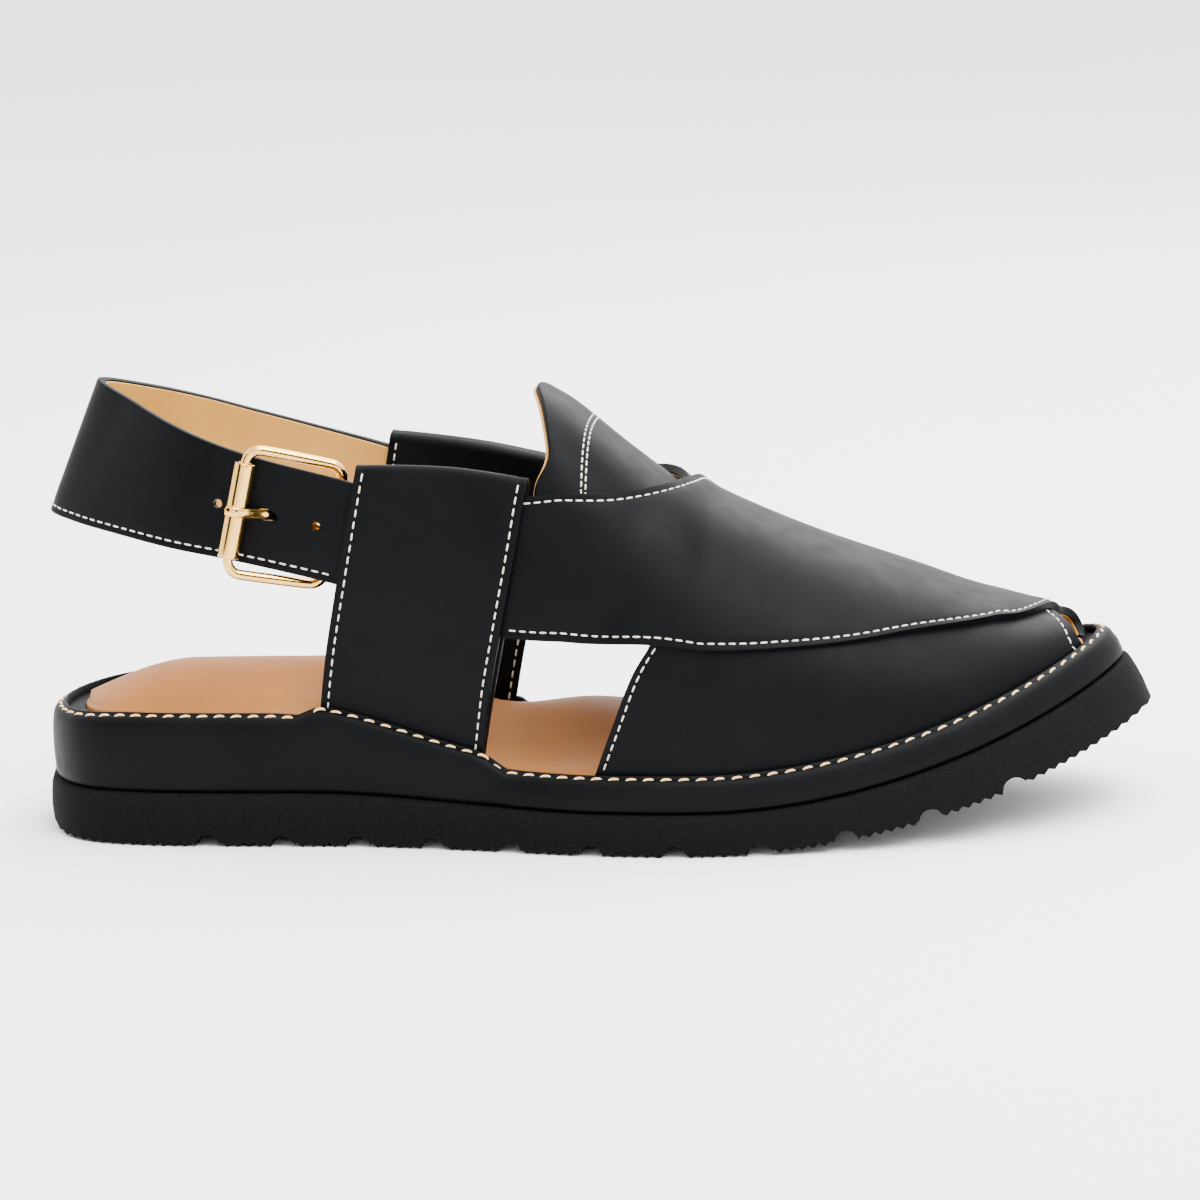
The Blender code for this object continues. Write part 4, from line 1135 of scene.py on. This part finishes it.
@dataclass
class Last:
    """The foot's form that the leather is drawn over, standing on the sole's ledge."""

    plan: SolePlan
    heel_width: float = 74 * MM
    instep_height: float = 118 * MM
    wall_ease: float = 1.45
    step: float = 0.25 * MM

    def __post_init__(self) -> None:
        """Lays out the ledge on both sides, and the last's sections at close steps along."""
        self.feet = {side: self.plan.ledge(side) for side in Side}
        self.places = [self.plan.along(row.along) for row in LAST]
        steps = int((self.places[-1] + 8 * MM - self.plan.heel_back_x) / self.step)
        self.sections = [self.section(self.plan.heel_back_x + k * self.step) for k in range(steps)]

    def section(self, x: float) -> tuple[float, ...]:
        """Crest over the ledge, fullness, lean, bulge, then both feet's places across and up."""
        places = self.places
        near = min(max(x, places[0]), places[-1])
        k = min(max(int(np.searchsorted(places, near)) - 1, 0), len(LAST) - 2)
        share = (k + (near - places[k]) / (places[k + 1] - places[k])) / (len(LAST) - 1)
        crest, fullness, lean, bulge = (float(v) for v in through([row[1:] for row in LAST], share))
        feet = (float(np.interp(x, self.feet[s][:, 0], self.feet[s][:, k])) for s in Side for k in (1, 2))
        return crest * self.instep_height, fullness, lean * self.heel_width, bulge * self.heel_width, *feet

    def on(self, x: float, girth: float) -> np.ndarray:
        """Point on the last, girth from 0 at the lateral ledge to 1 at the medial one."""
        place = min(max((x - self.plan.heel_back_x) / self.step, 0.0), len(self.sections) - 1.001)
        k = int(place)
        t = place - k
        row = [p + (q - p) * t for p, q in zip(self.sections[k], self.sections[k + 1])]
        crest, fullness, lean, bulge, low_y, low_z, high_y, high_z = row
        low, high = girth**self.wall_ease, (1 - girth) ** self.wall_ease
        turn = math.pi * low / (low + high)
        cosine, rise = math.cos(turn), max(math.sin(turn), 0.0) ** (2 / fullness)
        out = math.copysign(abs(cosine) ** (2 / fullness), cosine)
        across = (1 - out) / 2
        y = low_y + (high_y - low_y) * across + lean * rise - bulge * out * (1 - (1 - rise) ** 3)
        return np.array((x, y, low_z + (high_z - low_z) * across + crest * rise))

    def normal(self, x: float, girth: float) -> np.ndarray:
        """Outward normal of the last, level at the ledge."""
        step, turn = 0.5 * MM, 0.004
        ahead = self.on(x + step, girth) - self.on(x - step, girth)
        normal = cross(ahead, self.on(x, min(girth + turn, 1.0)) - self.on(x, max(girth - turn, 0.0)))
        normal[2] *= smooth(0, 0.05, min(girth, 1 - girth))
        return unit(normal)

    def off(self, x: float, girth: float, offset: float) -> np.ndarray:
        """Point at a distance outside the last. Feet follow the rise of the ledge."""
        end = self.on(x, girth) + self.normal(x, girth) * offset
        near = min(girth, 1 - girth)
        if near < 0.15:
            foot = round(girth)
            end[2] += (self.on(end[0], foot)[2] - self.on(x, foot)[2]) * (1 - smooth(0, 0.15, near))
        return end


@dataclass
class LeatherSheet:
    """A piece of leather. Run goes along it, across goes over it, and depth goes out from its inner face."""

    last: Last
    name: str
    thickness: float
    rows: int
    middle_columns: int
    stitch_inset: float = 2.1 * MM
    groove: float = 0.22 * MM
    edge_round: float = 0.45 * MM
    near_edge: tuple[float, ...] = (0.0, 0.9 * MM, 2.1 * MM, 3.3 * MM, 5.0 * MM)
    stitched_edges: tuple[int, ...] = (0, 1)

    def point(self, run: float, across: float, depth: float) -> np.ndarray:
        """Place on the sheet."""
        raise NotImplementedError

    @cached_property
    def widths(self) -> list[float]:
        """Lengths of the ribs at even runs."""
        made = []
        for k in range(65):
            spots = [self.point(k / 64, a / 8, 0) for a in range(9)]
            made.append(sum(math.dist(a, b) for a, b in zip(spots, spots[1:])))
        return made

    def width(self, run: float) -> float:
        """Length of the rib at a run."""
        place = min(max(run, 0.0), 1.0) * 64
        k = min(int(place), 63)
        return self.widths[k] + (self.widths[k + 1] - self.widths[k]) * (place - k)

    def relief(self, run: float, across: float, width: float) -> float:
        """Small rise or fall of the outer face: the stitches draw the leather in."""
        drop = 0.0
        for edge in self.stitched_edges:
            away = (across if edge == 0 else 1 - across) * width
            drop += self.groove * math.exp(-(((away - self.stitch_inset) / (0.7 * MM)) ** 2))
        return -drop

    def shares(self, width: float) -> list[float]:
        """Shares across at which the columns stand: close together near both edges."""
        near = [d / width for d in self.near_edge]
        inner = np.linspace(near[-1], 1 - near[-1], self.middle_columns + 2)[1:-1]
        return [*near, *inner, *(1 - d for d in near[::-1])]

    def build(self) -> bpy.types.Object:
        """Lays a grid over the last, gives it thickness and rounds its edges.

        Returns:
            The piece, undressed.
        """
        count = 2 * len(self.near_edge) + self.middle_columns
        deselect()
        bpy.ops.mesh.primitive_grid_add(x_subdivisions=count - 1, y_subdivisions=self.rows, size=1)
        piece = bpy.context.object
        piece.name = piece.data.name = self.name
        widths = [self.width(i / self.rows) for i in range(self.rows + 1)]
        spreads = [self.shares(w) for w in widths]
        for v in piece.data.vertices:
            i, j = round((v.co.y + 0.5) * self.rows), round((v.co.x + 0.5) * (count - 1))
            run, across = i / self.rows, spreads[i][j]
            v.co = self.point(run, across, self.relief(run, across, widths[i]))
        piece.data.update()
        face = piece.data.polygons[len(piece.data.polygons) // 2]
        outward = self.outward_at(np.array(face.center))
        if float(np.dot(np.array(face.normal), outward)) < 0:
            bpy.ops.object.mode_set(mode="EDIT")
            bpy.ops.mesh.select_all(action="SELECT")
            bpy.ops.mesh.flip_normals()
            bpy.ops.object.mode_set(mode="OBJECT")
        shell = piece.modifiers.new("Thickness", "SOLIDIFY")
        shell.thickness = self.thickness
        shell.offset = 1
        bpy.ops.object.modifier_apply(modifier=shell.name)
        finish_edges(piece, self.edge_round, 50, 1)
        return piece

    def outward_at(self, place: np.ndarray) -> np.ndarray:
        """Outward direction of the sheet near a place."""
        best = min(
            ((r / 12, a / 6) for r in range(13) for a in range(7)),
            key=lambda ra: float(np.linalg.norm(self.point(*ra, 0) - place)),
        )
        return unit(self.point(*best, 1 * MM) - self.point(*best, 0))

    def edge_path(self, edge: int, start: float, end: float) -> list[tuple[np.ndarray, np.ndarray]]:
        """Path for stitches beside an edge, in its groove.

        Args:
            edge: 0 or 1, the edge at that share across.
            start: run at which it starts.
            end: run at which it ends.

        Returns:
            Places on the outer face and their normals.
        """
        path = []
        for i in range(121):
            run = start + (end - start) * i / 120
            share = self.stitch_inset / self.width(run)
            across = share if edge == 0 else 1 - share
            here = self.point(run, across, 0)
            out = unit(self.point(run, across, 1 * MM) - here)
            path.append((here + out * (self.thickness - self.groove * 0.8), out))
        return path


@dataclass
class VampStrap(LeatherSheet):
    """One vamp strap, from its own side band over the instep to the far side of the toe."""

    side: Side = Side.LATERAL
    bite: float = 0.3 * MM
    ramp: float = 14 * MM
    ramp_girth: float = 0.08
    medial_drop: float = 0.023

    def __post_init__(self) -> None:
        """Finds the edges of the strap beneath."""
        ribs = [through(RIBS, i / 80) for i in range(81)]
        self.front = np.array([(self.last.plan.along(r[2]), 1 - r[3]) for r in ribs])
        self.rear = np.array([(1 - r[1], self.last.plan.along(r[0])) for r in ribs[40:]])[::-1]

    def place(self, run: float, across: float) -> tuple[float, float]:
        """Place along and girth on the strap."""
        rear_along, rear_girth, front_along, front_girth = through(RIBS, run)
        if self.side is Side.MEDIAL:
            rear_girth -= self.medial_drop * (1 - smooth(0.3, 0.5, rear_girth))
        x = self.last.plan.along(rear_along + (front_along - rear_along) * across)
        girth = rear_girth + (front_girth - rear_girth) * across
        return x, girth if self.side is Side.LATERAL else 1 - girth

    def raised(self, x: float, girth: float) -> float:
        """How far the outer strap is lifted by the inner one beneath it, from 0 to 1."""
        if girth < 0.5:
            edge = float(np.interp(girth, self.rear[:, 0], self.rear[:, 1]))
            return smooth(edge - self.ramp, edge - 1 * MM, x)
        edge = float(np.interp(x, self.front[:, 0], self.front[:, 1]))
        return 1 - smooth(edge + 0.01, edge + self.ramp_girth, girth)

    def point(self, run: float, across: float, depth: float) -> np.ndarray:
        """Place on the strap."""
        x, girth = self.place(run, across)
        lift = (self.thickness - self.bite) * self.raised(x, girth) if self.side is Side.LATERAL else 0
        return self.last.off(x, girth, lift + depth)


@dataclass
class TongueFlap(LeatherSheet):
    """Peaked flap under the crossing. Run goes forwards from its rear edge, across from lateral to medial."""

    gap: float = 0.7 * MM
    peak: float = 2.8 * MM

    def point(self, run: float, across: float, depth: float) -> np.ndarray:
        """Place on the tongue."""
        rows = TONGUE + [TongueRow(1 - row[0], *row[1:]) for row in TONGUE[-2::-1]]
        girth, rear, front = through(rows, across)
        x = self.last.plan.along(rear + (front - rear) * run)
        spot = self.last.off(x, girth, depth - self.gap - self.thickness)
        spot[2] += self.lift(run, girth)
        return spot

    def lift(self, run: float, girth: float) -> float:
        """How far the peak is drawn up over the last."""
        return self.peak * max(1 - run / 0.45, 0.0) ** 1.6 * max(1 - abs(girth - 0.5) / 0.14, 0.0) ** 1.3

    def seam(self, along: float, low: float) -> list[tuple[np.ndarray, np.ndarray]]:
        """Path over the tongue at one place along.

        Args:
            along: share of the sole's length.
            low: girth at which it starts on the lateral side, and ends on the medial side.

        Returns:
            Places on the outer face and their normals.
        """
        path = []
        for i in range(121):
            girth = low + (1 - 2 * low) * i / 120
            x = self.last.plan.along(along - 0.004 * abs(2 * girth - 1))
            spot = self.last.off(x, girth, -self.gap - 0.03 * MM)
            spot[2] += self.lift((along - 0.457) / 0.203, girth)
            path.append((spot, self.last.normal(x, girth)))
        return path


@dataclass
class SideBand(LeatherSheet):
    """Leather band folded over at its top. Run goes up the inner layer and down the outer one."""

    side: Side = Side.LATERAL
    top: tuple[float, float] = (0.271, 0.314)
    bar_room: float = 0.0
    pocket: float = 2.4 * MM
    foot_bite: float = 0.3 * MM
    fold_rise: float = 1.5 * MM
    fold_from: float = 0.46
    fold_to: float = 0.54

    def point(self, run: float, across: float, depth: float) -> np.ndarray:
        """Place on the band's face towards the pocket, or at a depth away from it."""
        fold = min(max((run - self.fold_from) / (self.fold_to - self.fold_from), 0.0), 1.0)
        rise = min(run / self.fold_from, (1 - run) / (1 - self.fold_to), 1.0)
        rear, front = through(BAND, rise)
        low, high = self.top
        girth = rise * (low + (high - low) * across)
        x = self.last.plan.along(rear + (front - rear) * across)
        girth = girth if self.side is Side.LATERAL else 1 - girth
        room = self.bar_room * (1 - smooth(0, 0.5, across))
        opened = smooth(0, 0.34, rise)
        joined = self.thickness - self.foot_bite
        inner = joined + (-FIT - room - joined) * opened
        outer = joined + (self.pocket + FIT - joined) * opened
        turn = math.pi * fold
        middle, half = (inner + outer) / 2, (outer - inner) / 2
        offset = middle - (half + depth) * math.cos(turn)
        spot = self.last.off(x, girth, offset)
        spot[2] += (self.fold_rise - self.thickness + depth) * math.sin(turn)
        return spot


@dataclass
class HeelStrap(LeatherSheet):
    """Strap round the heel. Run goes from its lateral end to its medial one, across from top to low."""

    hole_first: float = 5.7 * MM
    hole_pitch: float = 13.4 * MM
    hole_radius: float = 1.2 * MM
    slot_length: float = 5.8 * MM
    slot_width: float = 3.1 * MM
    cutter_reach: float = 12 * MM

    def __post_init__(self) -> None:
        """Lays out the strap's top, middle and low line."""
        plan, wide, high = self.last.plan, self.last.heel_width, self.last.instep_height
        half, far_ends = [], []
        for row in HEEL:
            top = np.array((plan.along(row.top_along), -row.top_wide * wide, row.top_high * high))
            low = np.array((plan.along(row.low_along), -row.low_wide * wide, row.low_high * high))
            half.append(np.concatenate((top, (top + low) / 2, low)))
        for row in ENTRY:
            spots = (
                (row.top_along, row.top_girth),
                ((row.top_along + row.low_along) / 2, (row.top_girth + row.low_girth) / 2),
                (row.low_along, row.low_girth),
            )
            half.append(np.concatenate([self.last.on(plan.along(a), g) for a, g in spots]))
            far_ends.append(np.concatenate([self.last.on(plan.along(a), 1 - g) for a, g in spots]))
        far = [row * np.array((1, -1, 1) * 3) for row in half[1 : len(HEEL)]] + far_ends
        self.lines = half[::-1] + far
        self.known: dict[float, np.ndarray] = {}
        self.entry_run = (len(ENTRY) - 1) / (len(self.lines) - 1)

    def point(self, run: float, across: float, depth: float) -> np.ndarray:
        """Place on the strap."""
        step = 1e-3

        def flat(r: float, a: float) -> np.ndarray:
            """Place on the inner face."""
            r = round(min(max(r, 0.0), 1.0), 7)
            if r not in self.known:
                self.known[r] = through(self.lines, r)
            row = self.known[r]
            top, middle, low = row[:3], row[3:6], row[6:]
            return top * (1 - a) * (1 - 2 * a) + middle * (4 * a * (1 - a)) + low * (a * (2 * a - 1))

        ahead = flat(run + step, across) - flat(run - step, across)
        down = flat(run, across + step) - flat(run, across - step)
        return flat(run, across) + unit(cross(ahead, down)) * depth

    def at(self, distance: float) -> tuple[np.ndarray, np.ndarray, np.ndarray, np.ndarray]:
        """Middle of the inner face at a distance behind the lateral band, and its up, back and out."""
        run, step, left = self.entry_run, 1e-3 if distance > 0 else -1e-3, abs(distance)
        while left > 0:
            length = np.linalg.norm(self.point(run + step, 0.5, 0) - self.point(run, 0.5, 0))
            run += step * min(1.0, left / length)
            left -= length
        middle = self.point(run, 0.5, 0)
        up = unit(self.point(run, 0, 0) - self.point(run, 1, 0))
        out = unit(self.point(run, 0.5, 1) - middle)
        return middle, up, unit(np.cross(out, up)), out

    def punch(self, *pieces: bpy.types.Object) -> None:
        """Cuts the holes, and the prong's slot, through the pieces.

        Args:
            pieces: strap and lining.
        """
        for k in range(3):
            middle, up, back, out = self.at(self.hole_first + k * self.hole_pitch)
            slot = self.slot_length / 2, self.slot_width / 2
            length, width = slot if k == 1 else (self.hole_radius, self.hole_radius)
            deselect()
            bpy.ops.mesh.primitive_cylinder_add(vertices=24, radius=1, depth=self.cutter_reach)
            cutter = bpy.context.object
            turn = np.array((up * width, back * length, out)).T
            place = Matrix([[*turn[r], middle[r]] for r in range(3)] + [[0, 0, 0, 1]])
            cutter.data.transform(place)
            for piece in pieces:
                deselect()
                piece.select_set(True)
                bpy.context.view_layer.objects.active = piece
                cut = piece.modifiers.new("Hole", "BOOLEAN")
                cut.object = cutter
                cut.solver = "EXACT"
                bpy.ops.object.modifier_apply(modifier=cut.name)
            bpy.data.objects.remove(cutter)


@dataclass
class Lining(LeatherSheet):
    """Thin lining on the inner face of another sheet. Proud is how far its edges stand past the sheet's."""

    outer: LeatherSheet | None = None
    start: float = 0.0
    end: float = 1.0
    proud: float = 0.0
    over: float = 0.05 * MM

    def point(self, run: float, across: float, depth: float) -> np.ndarray:
        """Place on the lining."""
        run = self.start + (self.end - self.start) * run
        grow = self.proud / self.outer.width(run)
        return self.outer.point(run, -grow + (1 + grow) * across, depth - self.thickness - self.over)


@dataclass
class Uppers:
    """All the leather over the last, with its linings and stitches."""

    last: Last
    strap_thickness: float = 2.2 * MM
    heel_strap_thickness: float = 2.4 * MM
    band_leather: float = 1.5 * MM
    tongue_thickness: float = 1.8 * MM
    lining_thickness: float = 0.5 * MM
    strap_lining: float = 0.35 * MM

    def vamp(self, palette: Palette) -> None:
        """Both crossed straps, their stitches and linings."""
        for side, name in ((Side.MEDIAL, "strap_inner"), (Side.LATERAL, "strap_outer")):
            strap = VampStrap(self.last, name, self.strap_thickness, 84, 16, side=side)
            dress(strap.build(), palette.black, Slot.BLACK, "upper")
            paths = [strap.edge_path(0, 0.08, 0.985), strap.edge_path(1, 0.1, 0.985)]
            row = StitchRow(f"{name}_stitches", pitch=2.75 * MM, length=2.1 * MM)
            dress(row.build(paths), palette.white_thread, Slot.BLACK)
            lining = Lining(
                self.last, f"{name}_lining", self.strap_lining, 60, 12,
                outer=strap, start=0.12, end=0.985, proud=-0.5 * MM,
                stitched_edges=(), edge_round=0, near_edge=(0.0, 1.5 * MM),
            )
            dress(lining.build(), palette.lining, Slot.TAN)

    def tongue(self, palette: Palette) -> None:
        """Tongue with its double seam and its lining."""
        flap = TongueFlap(self.last, "tongue_flap", self.tongue_thickness, 36, 26, stitched_edges=())
        dress(flap.build(), palette.black, Slot.BLACK, "tongue")
        lining = Lining(
            self.last, "tongue_lining", self.lining_thickness, 24, 18,
            outer=flap, start=-0.012, end=0.9, proud=-0.5 * MM,
            stitched_edges=(), edge_round=0, near_edge=(0.0, 1.5 * MM),
        )
        dress(lining.build(), palette.lining, Slot.TAN)
        row = StitchRow("tongue_stitches", pitch=2.3 * MM, length=1.75 * MM)
        paths = [flap.seam(0.5035, 0.3), flap.seam(0.5072, 0.3)]
        dress(row.build(paths), palette.white_thread, Slot.BLACK)

    def bands(self, palette: Palette) -> None:
        """Both side bands and their stitches."""
        for side, top, room, node in (
            (Side.LATERAL, (0.271, 0.314), 6.8 * MM, "side_band_lateral"),
            (Side.MEDIAL, (0.267, 0.292), 0.0, "side_band_medial"),
        ):
            band = SideBand(
                self.last, f"{node}_leather", self.band_leather, 96, 8,
                side=side, top=top, bar_room=room, groove=0.18 * MM,
            )
            dress(band.build(), palette.black, Slot.BLACK, node)
            row = StitchRow(f"{node}_stitches", pitch=3.0 * MM, length=2.3 * MM)
            paths = [band.edge_path(e, *span) for e in (0, 1) for span in ((0.02, 0.457), (0.543, 0.98))]
            dress(row.build(paths), palette.white_thread, Slot.BLACK)

    def heel(self, palette: Palette) -> None:
        """Heel strap, its lining, its stitches and its holes."""
        strap = HeelStrap(
            self.last, "heel_strap_leather", self.heel_strap_thickness, 110, 8, stitched_edges=(1,)
        )
        lining = Lining(
            self.last, "heel_strap_lining", self.lining_thickness, 100, 8,
            outer=strap, start=0.125, end=0.878, proud=-0.45 * MM,
            stitched_edges=(), edge_round=0.12 * MM, near_edge=(0.0, 1.0 * MM),
        )
        pieces = strap.build(), lining.build()
        strap.punch(*pieces)
        dress(pieces[0], palette.black, Slot.BLACK, "heel_strap")
        dress(pieces[1], palette.lining, Slot.TAN)
        row = StitchRow("heel_strap_stitches", pitch=2.9 * MM, length=2.2 * MM)
        span = (strap.entry_run, 1 - strap.entry_run)
        dress(row.build([strap.edge_path(1, *span)]), palette.white_thread, Slot.BLACK)

    def build(self, palette: Palette) -> None:
        """Builds and dresses all the leather.

        Args:
            palette: the shoe's finishes.
        """
        self.vamp(palette)
        self.tongue(palette)
        self.bands(palette)
        self.heel(palette)


@dataclass
class Buckle:
    """Polished buckle: wire frame, roller and prong, and the leather loops that hold its bar."""

    metal: tuple[str, ...] = ("buckle_frame", "buckle_roller", "buckle_prong")
    loops: tuple[str, ...] = ("buckle_loop_upper", "buckle_loop_lower")
    roller_edge: float = 0.35 * MM

    def round_off(self, node: str, bevel: float) -> bpy.types.Object:
        """Copies a node's merged mesh and smooths it.

        Args:
            node: CAD node.
            bevel: width of its rounded edges.

        Returns:
            The piece, undressed.
        """
        deselect()
        piece = bpy.data.objects.new(f"{node}_smooth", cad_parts[node].data.copy())
        bpy.context.scene.collection.objects.link(piece)
        piece.select_set(True)
        bpy.context.view_layer.objects.active = piece
        bpy.ops.object.mode_set(mode="EDIT")
        bpy.ops.mesh.select_all(action="SELECT")
        bpy.ops.mesh.remove_doubles(threshold=0.002 * MM)
        bpy.ops.mesh.tris_convert_to_quads()
        bpy.ops.object.mode_set(mode="OBJECT")
        bpy.ops.object.shade_smooth()
        finish_edges(piece, bevel, 55, 2)
        return piece

    def build(self, palette: Palette) -> None:
        """Builds and dresses the buckle.

        Args:
            palette: the shoe's finishes.
        """
        for node in self.metal:
            bevel = self.roller_edge if node == "buckle_roller" else 0.0
            dress(self.round_off(node, bevel), palette.gold, Slot.BUCKLE, node)
        for node in self.loops:
            dress(self.round_off(node, 0.2 * MM), palette.black, Slot.BLACK, node)


# Studio


class Lamp(NamedTuple):
    """Soft rectangular light."""

    name: str
    place: tuple[float, float, float]
    wide: float
    tall: float
    power: float


class Card(NamedTuple):
    """Dark card beside the camera, which the buckle reflects."""

    name: str
    place: tuple[float, float, float]
    wide: float
    tall: float


LAMPS = [
    Lamp("Key", (0.55, -0.75, 1.15), 0.9, 0.9, 28.0),
    Lamp("Overhead", (0.30, 0.05, 1.25), 1.2, 0.9, 32.0),
    Lamp("Rim", (0.35, 0.9, 0.9), 0.8, 0.8, 16.0),
]
CARDS = [
    Card("card_left", (-0.78, -0.80, 0.45), 0.55, 0.80),
    Card("card_right", (0.55, -1.05, 0.45), 0.40, 0.80),
]


@dataclass
class Studio:
    """Pale floor, soft lights, dark cards and the camera."""

    target: tuple[float, float, float] = (0.0023, 0.0, 0.058)
    azimuth: float = 7.0
    elevation: float = 11.5
    roll: float = 2.2
    distance: float = 1.4
    lens: float = 157.5
    floor_size: float = 16.0
    surroundings: float = 3.0

    def floor(self) -> None:
        """Lays the floor."""
        deselect()
        bpy.ops.mesh.primitive_grid_add(x_subdivisions=8, y_subdivisions=8, size=self.floor_size)
        made = bpy.context.object
        made.name = made.data.name = "studio_floor"
        made.data.materials.append(PlainFinish("Studio floor").material())

    def stand(self, card: Card) -> None:
        """Stands a dark card so that it faces the shoe.

        Args:
            card: the card.
        """
        deselect()
        bpy.ops.mesh.primitive_plane_add(size=1)
        made = bpy.context.object
        made.name = made.data.name = card.name
        turn = (Vector(self.target) - Vector(card.place)).to_track_quat("Z", "Y").to_matrix().to_4x4()
        stretch = Matrix.Diagonal((card.wide, card.tall, 1, 1))
        made.data.transform(Matrix.Translation(card.place) @ turn @ stretch)
        made.data.materials.append(PlainFinish(f"Dark {card.name}", colour=(0.01, 0.01, 0.01)).material())

    def hang(self, lamp: Lamp) -> None:
        """Hangs a soft light that faces the shoe.

        Args:
            lamp: the light.
        """
        light = bpy.data.lights.new(lamp.name, "AREA")
        light.shape = "RECTANGLE"
        light.size, light.size_y = lamp.wide, lamp.tall
        light.energy = lamp.power
        made = bpy.data.objects.new(lamp.name, light)
        made.location = lamp.place
        aim = Vector(self.target) - Vector(lamp.place)
        made.rotation_euler = aim.to_track_quat("-Z", "Y").to_euler()
        bpy.context.scene.collection.objects.link(made)

    def camera(self) -> None:
        """Stands the camera where the photograph was taken from."""
        a, e, r = (math.radians(v) for v in (self.azimuth, self.elevation, self.roll))
        back = Vector((math.sin(a) * math.cos(e), -math.cos(a) * math.cos(e), math.sin(e)))
        right = Vector((math.cos(a), math.sin(a), 0))
        up = back.cross(right)
        across = right * math.cos(r) - up * math.sin(r)
        above = right * math.sin(r) + up * math.cos(r)
        lens = bpy.data.cameras.new("Camera")
        lens.lens = self.lens
        lens.sensor_width = 36
        lens.sensor_fit = "HORIZONTAL"
        lens.clip_start, lens.clip_end = 0.01, 50
        made = bpy.data.objects.new("Camera", lens)
        place = Vector(self.target) + back * self.distance
        rows = [[*(v[k] for v in (across, above, back)), place[k]] for k in range(3)]
        made.matrix_world = Matrix(rows + [[0, 0, 0, 1]])
        bpy.context.scene.collection.objects.link(made)
        bpy.context.scene.camera = made

    def sky(self) -> None:
        """Even white surroundings."""
        world = bpy.data.worlds.new("Studio")
        world.use_nodes = True
        shade = world.node_tree.nodes["Background"]
        shade.inputs["Color"].default_value = (1, 1, 1, 1)
        shade.inputs["Strength"].default_value = self.surroundings
        bpy.context.scene.world = world

    def build(self) -> None:
        """Sets up the studio."""
        self.floor()
        for card in CARDS:
            self.stand(card)
        for lamp in LAMPS:
            self.hang(lamp)
        self.sky()
        self.camera()


def main() -> None:
    """Builds the shoe and its studio, in order."""
    logging.basicConfig(level=logging.INFO, format="%(name)s: %(message)s")
    plan = SolePlan()
    palette = Palette.mix()
    SoleUnit(plan).build(palette)
    Uppers(Last(plan)).build(palette)
    Buckle().build(palette)
    Studio().build()


if __name__ == "__main__":
    main()
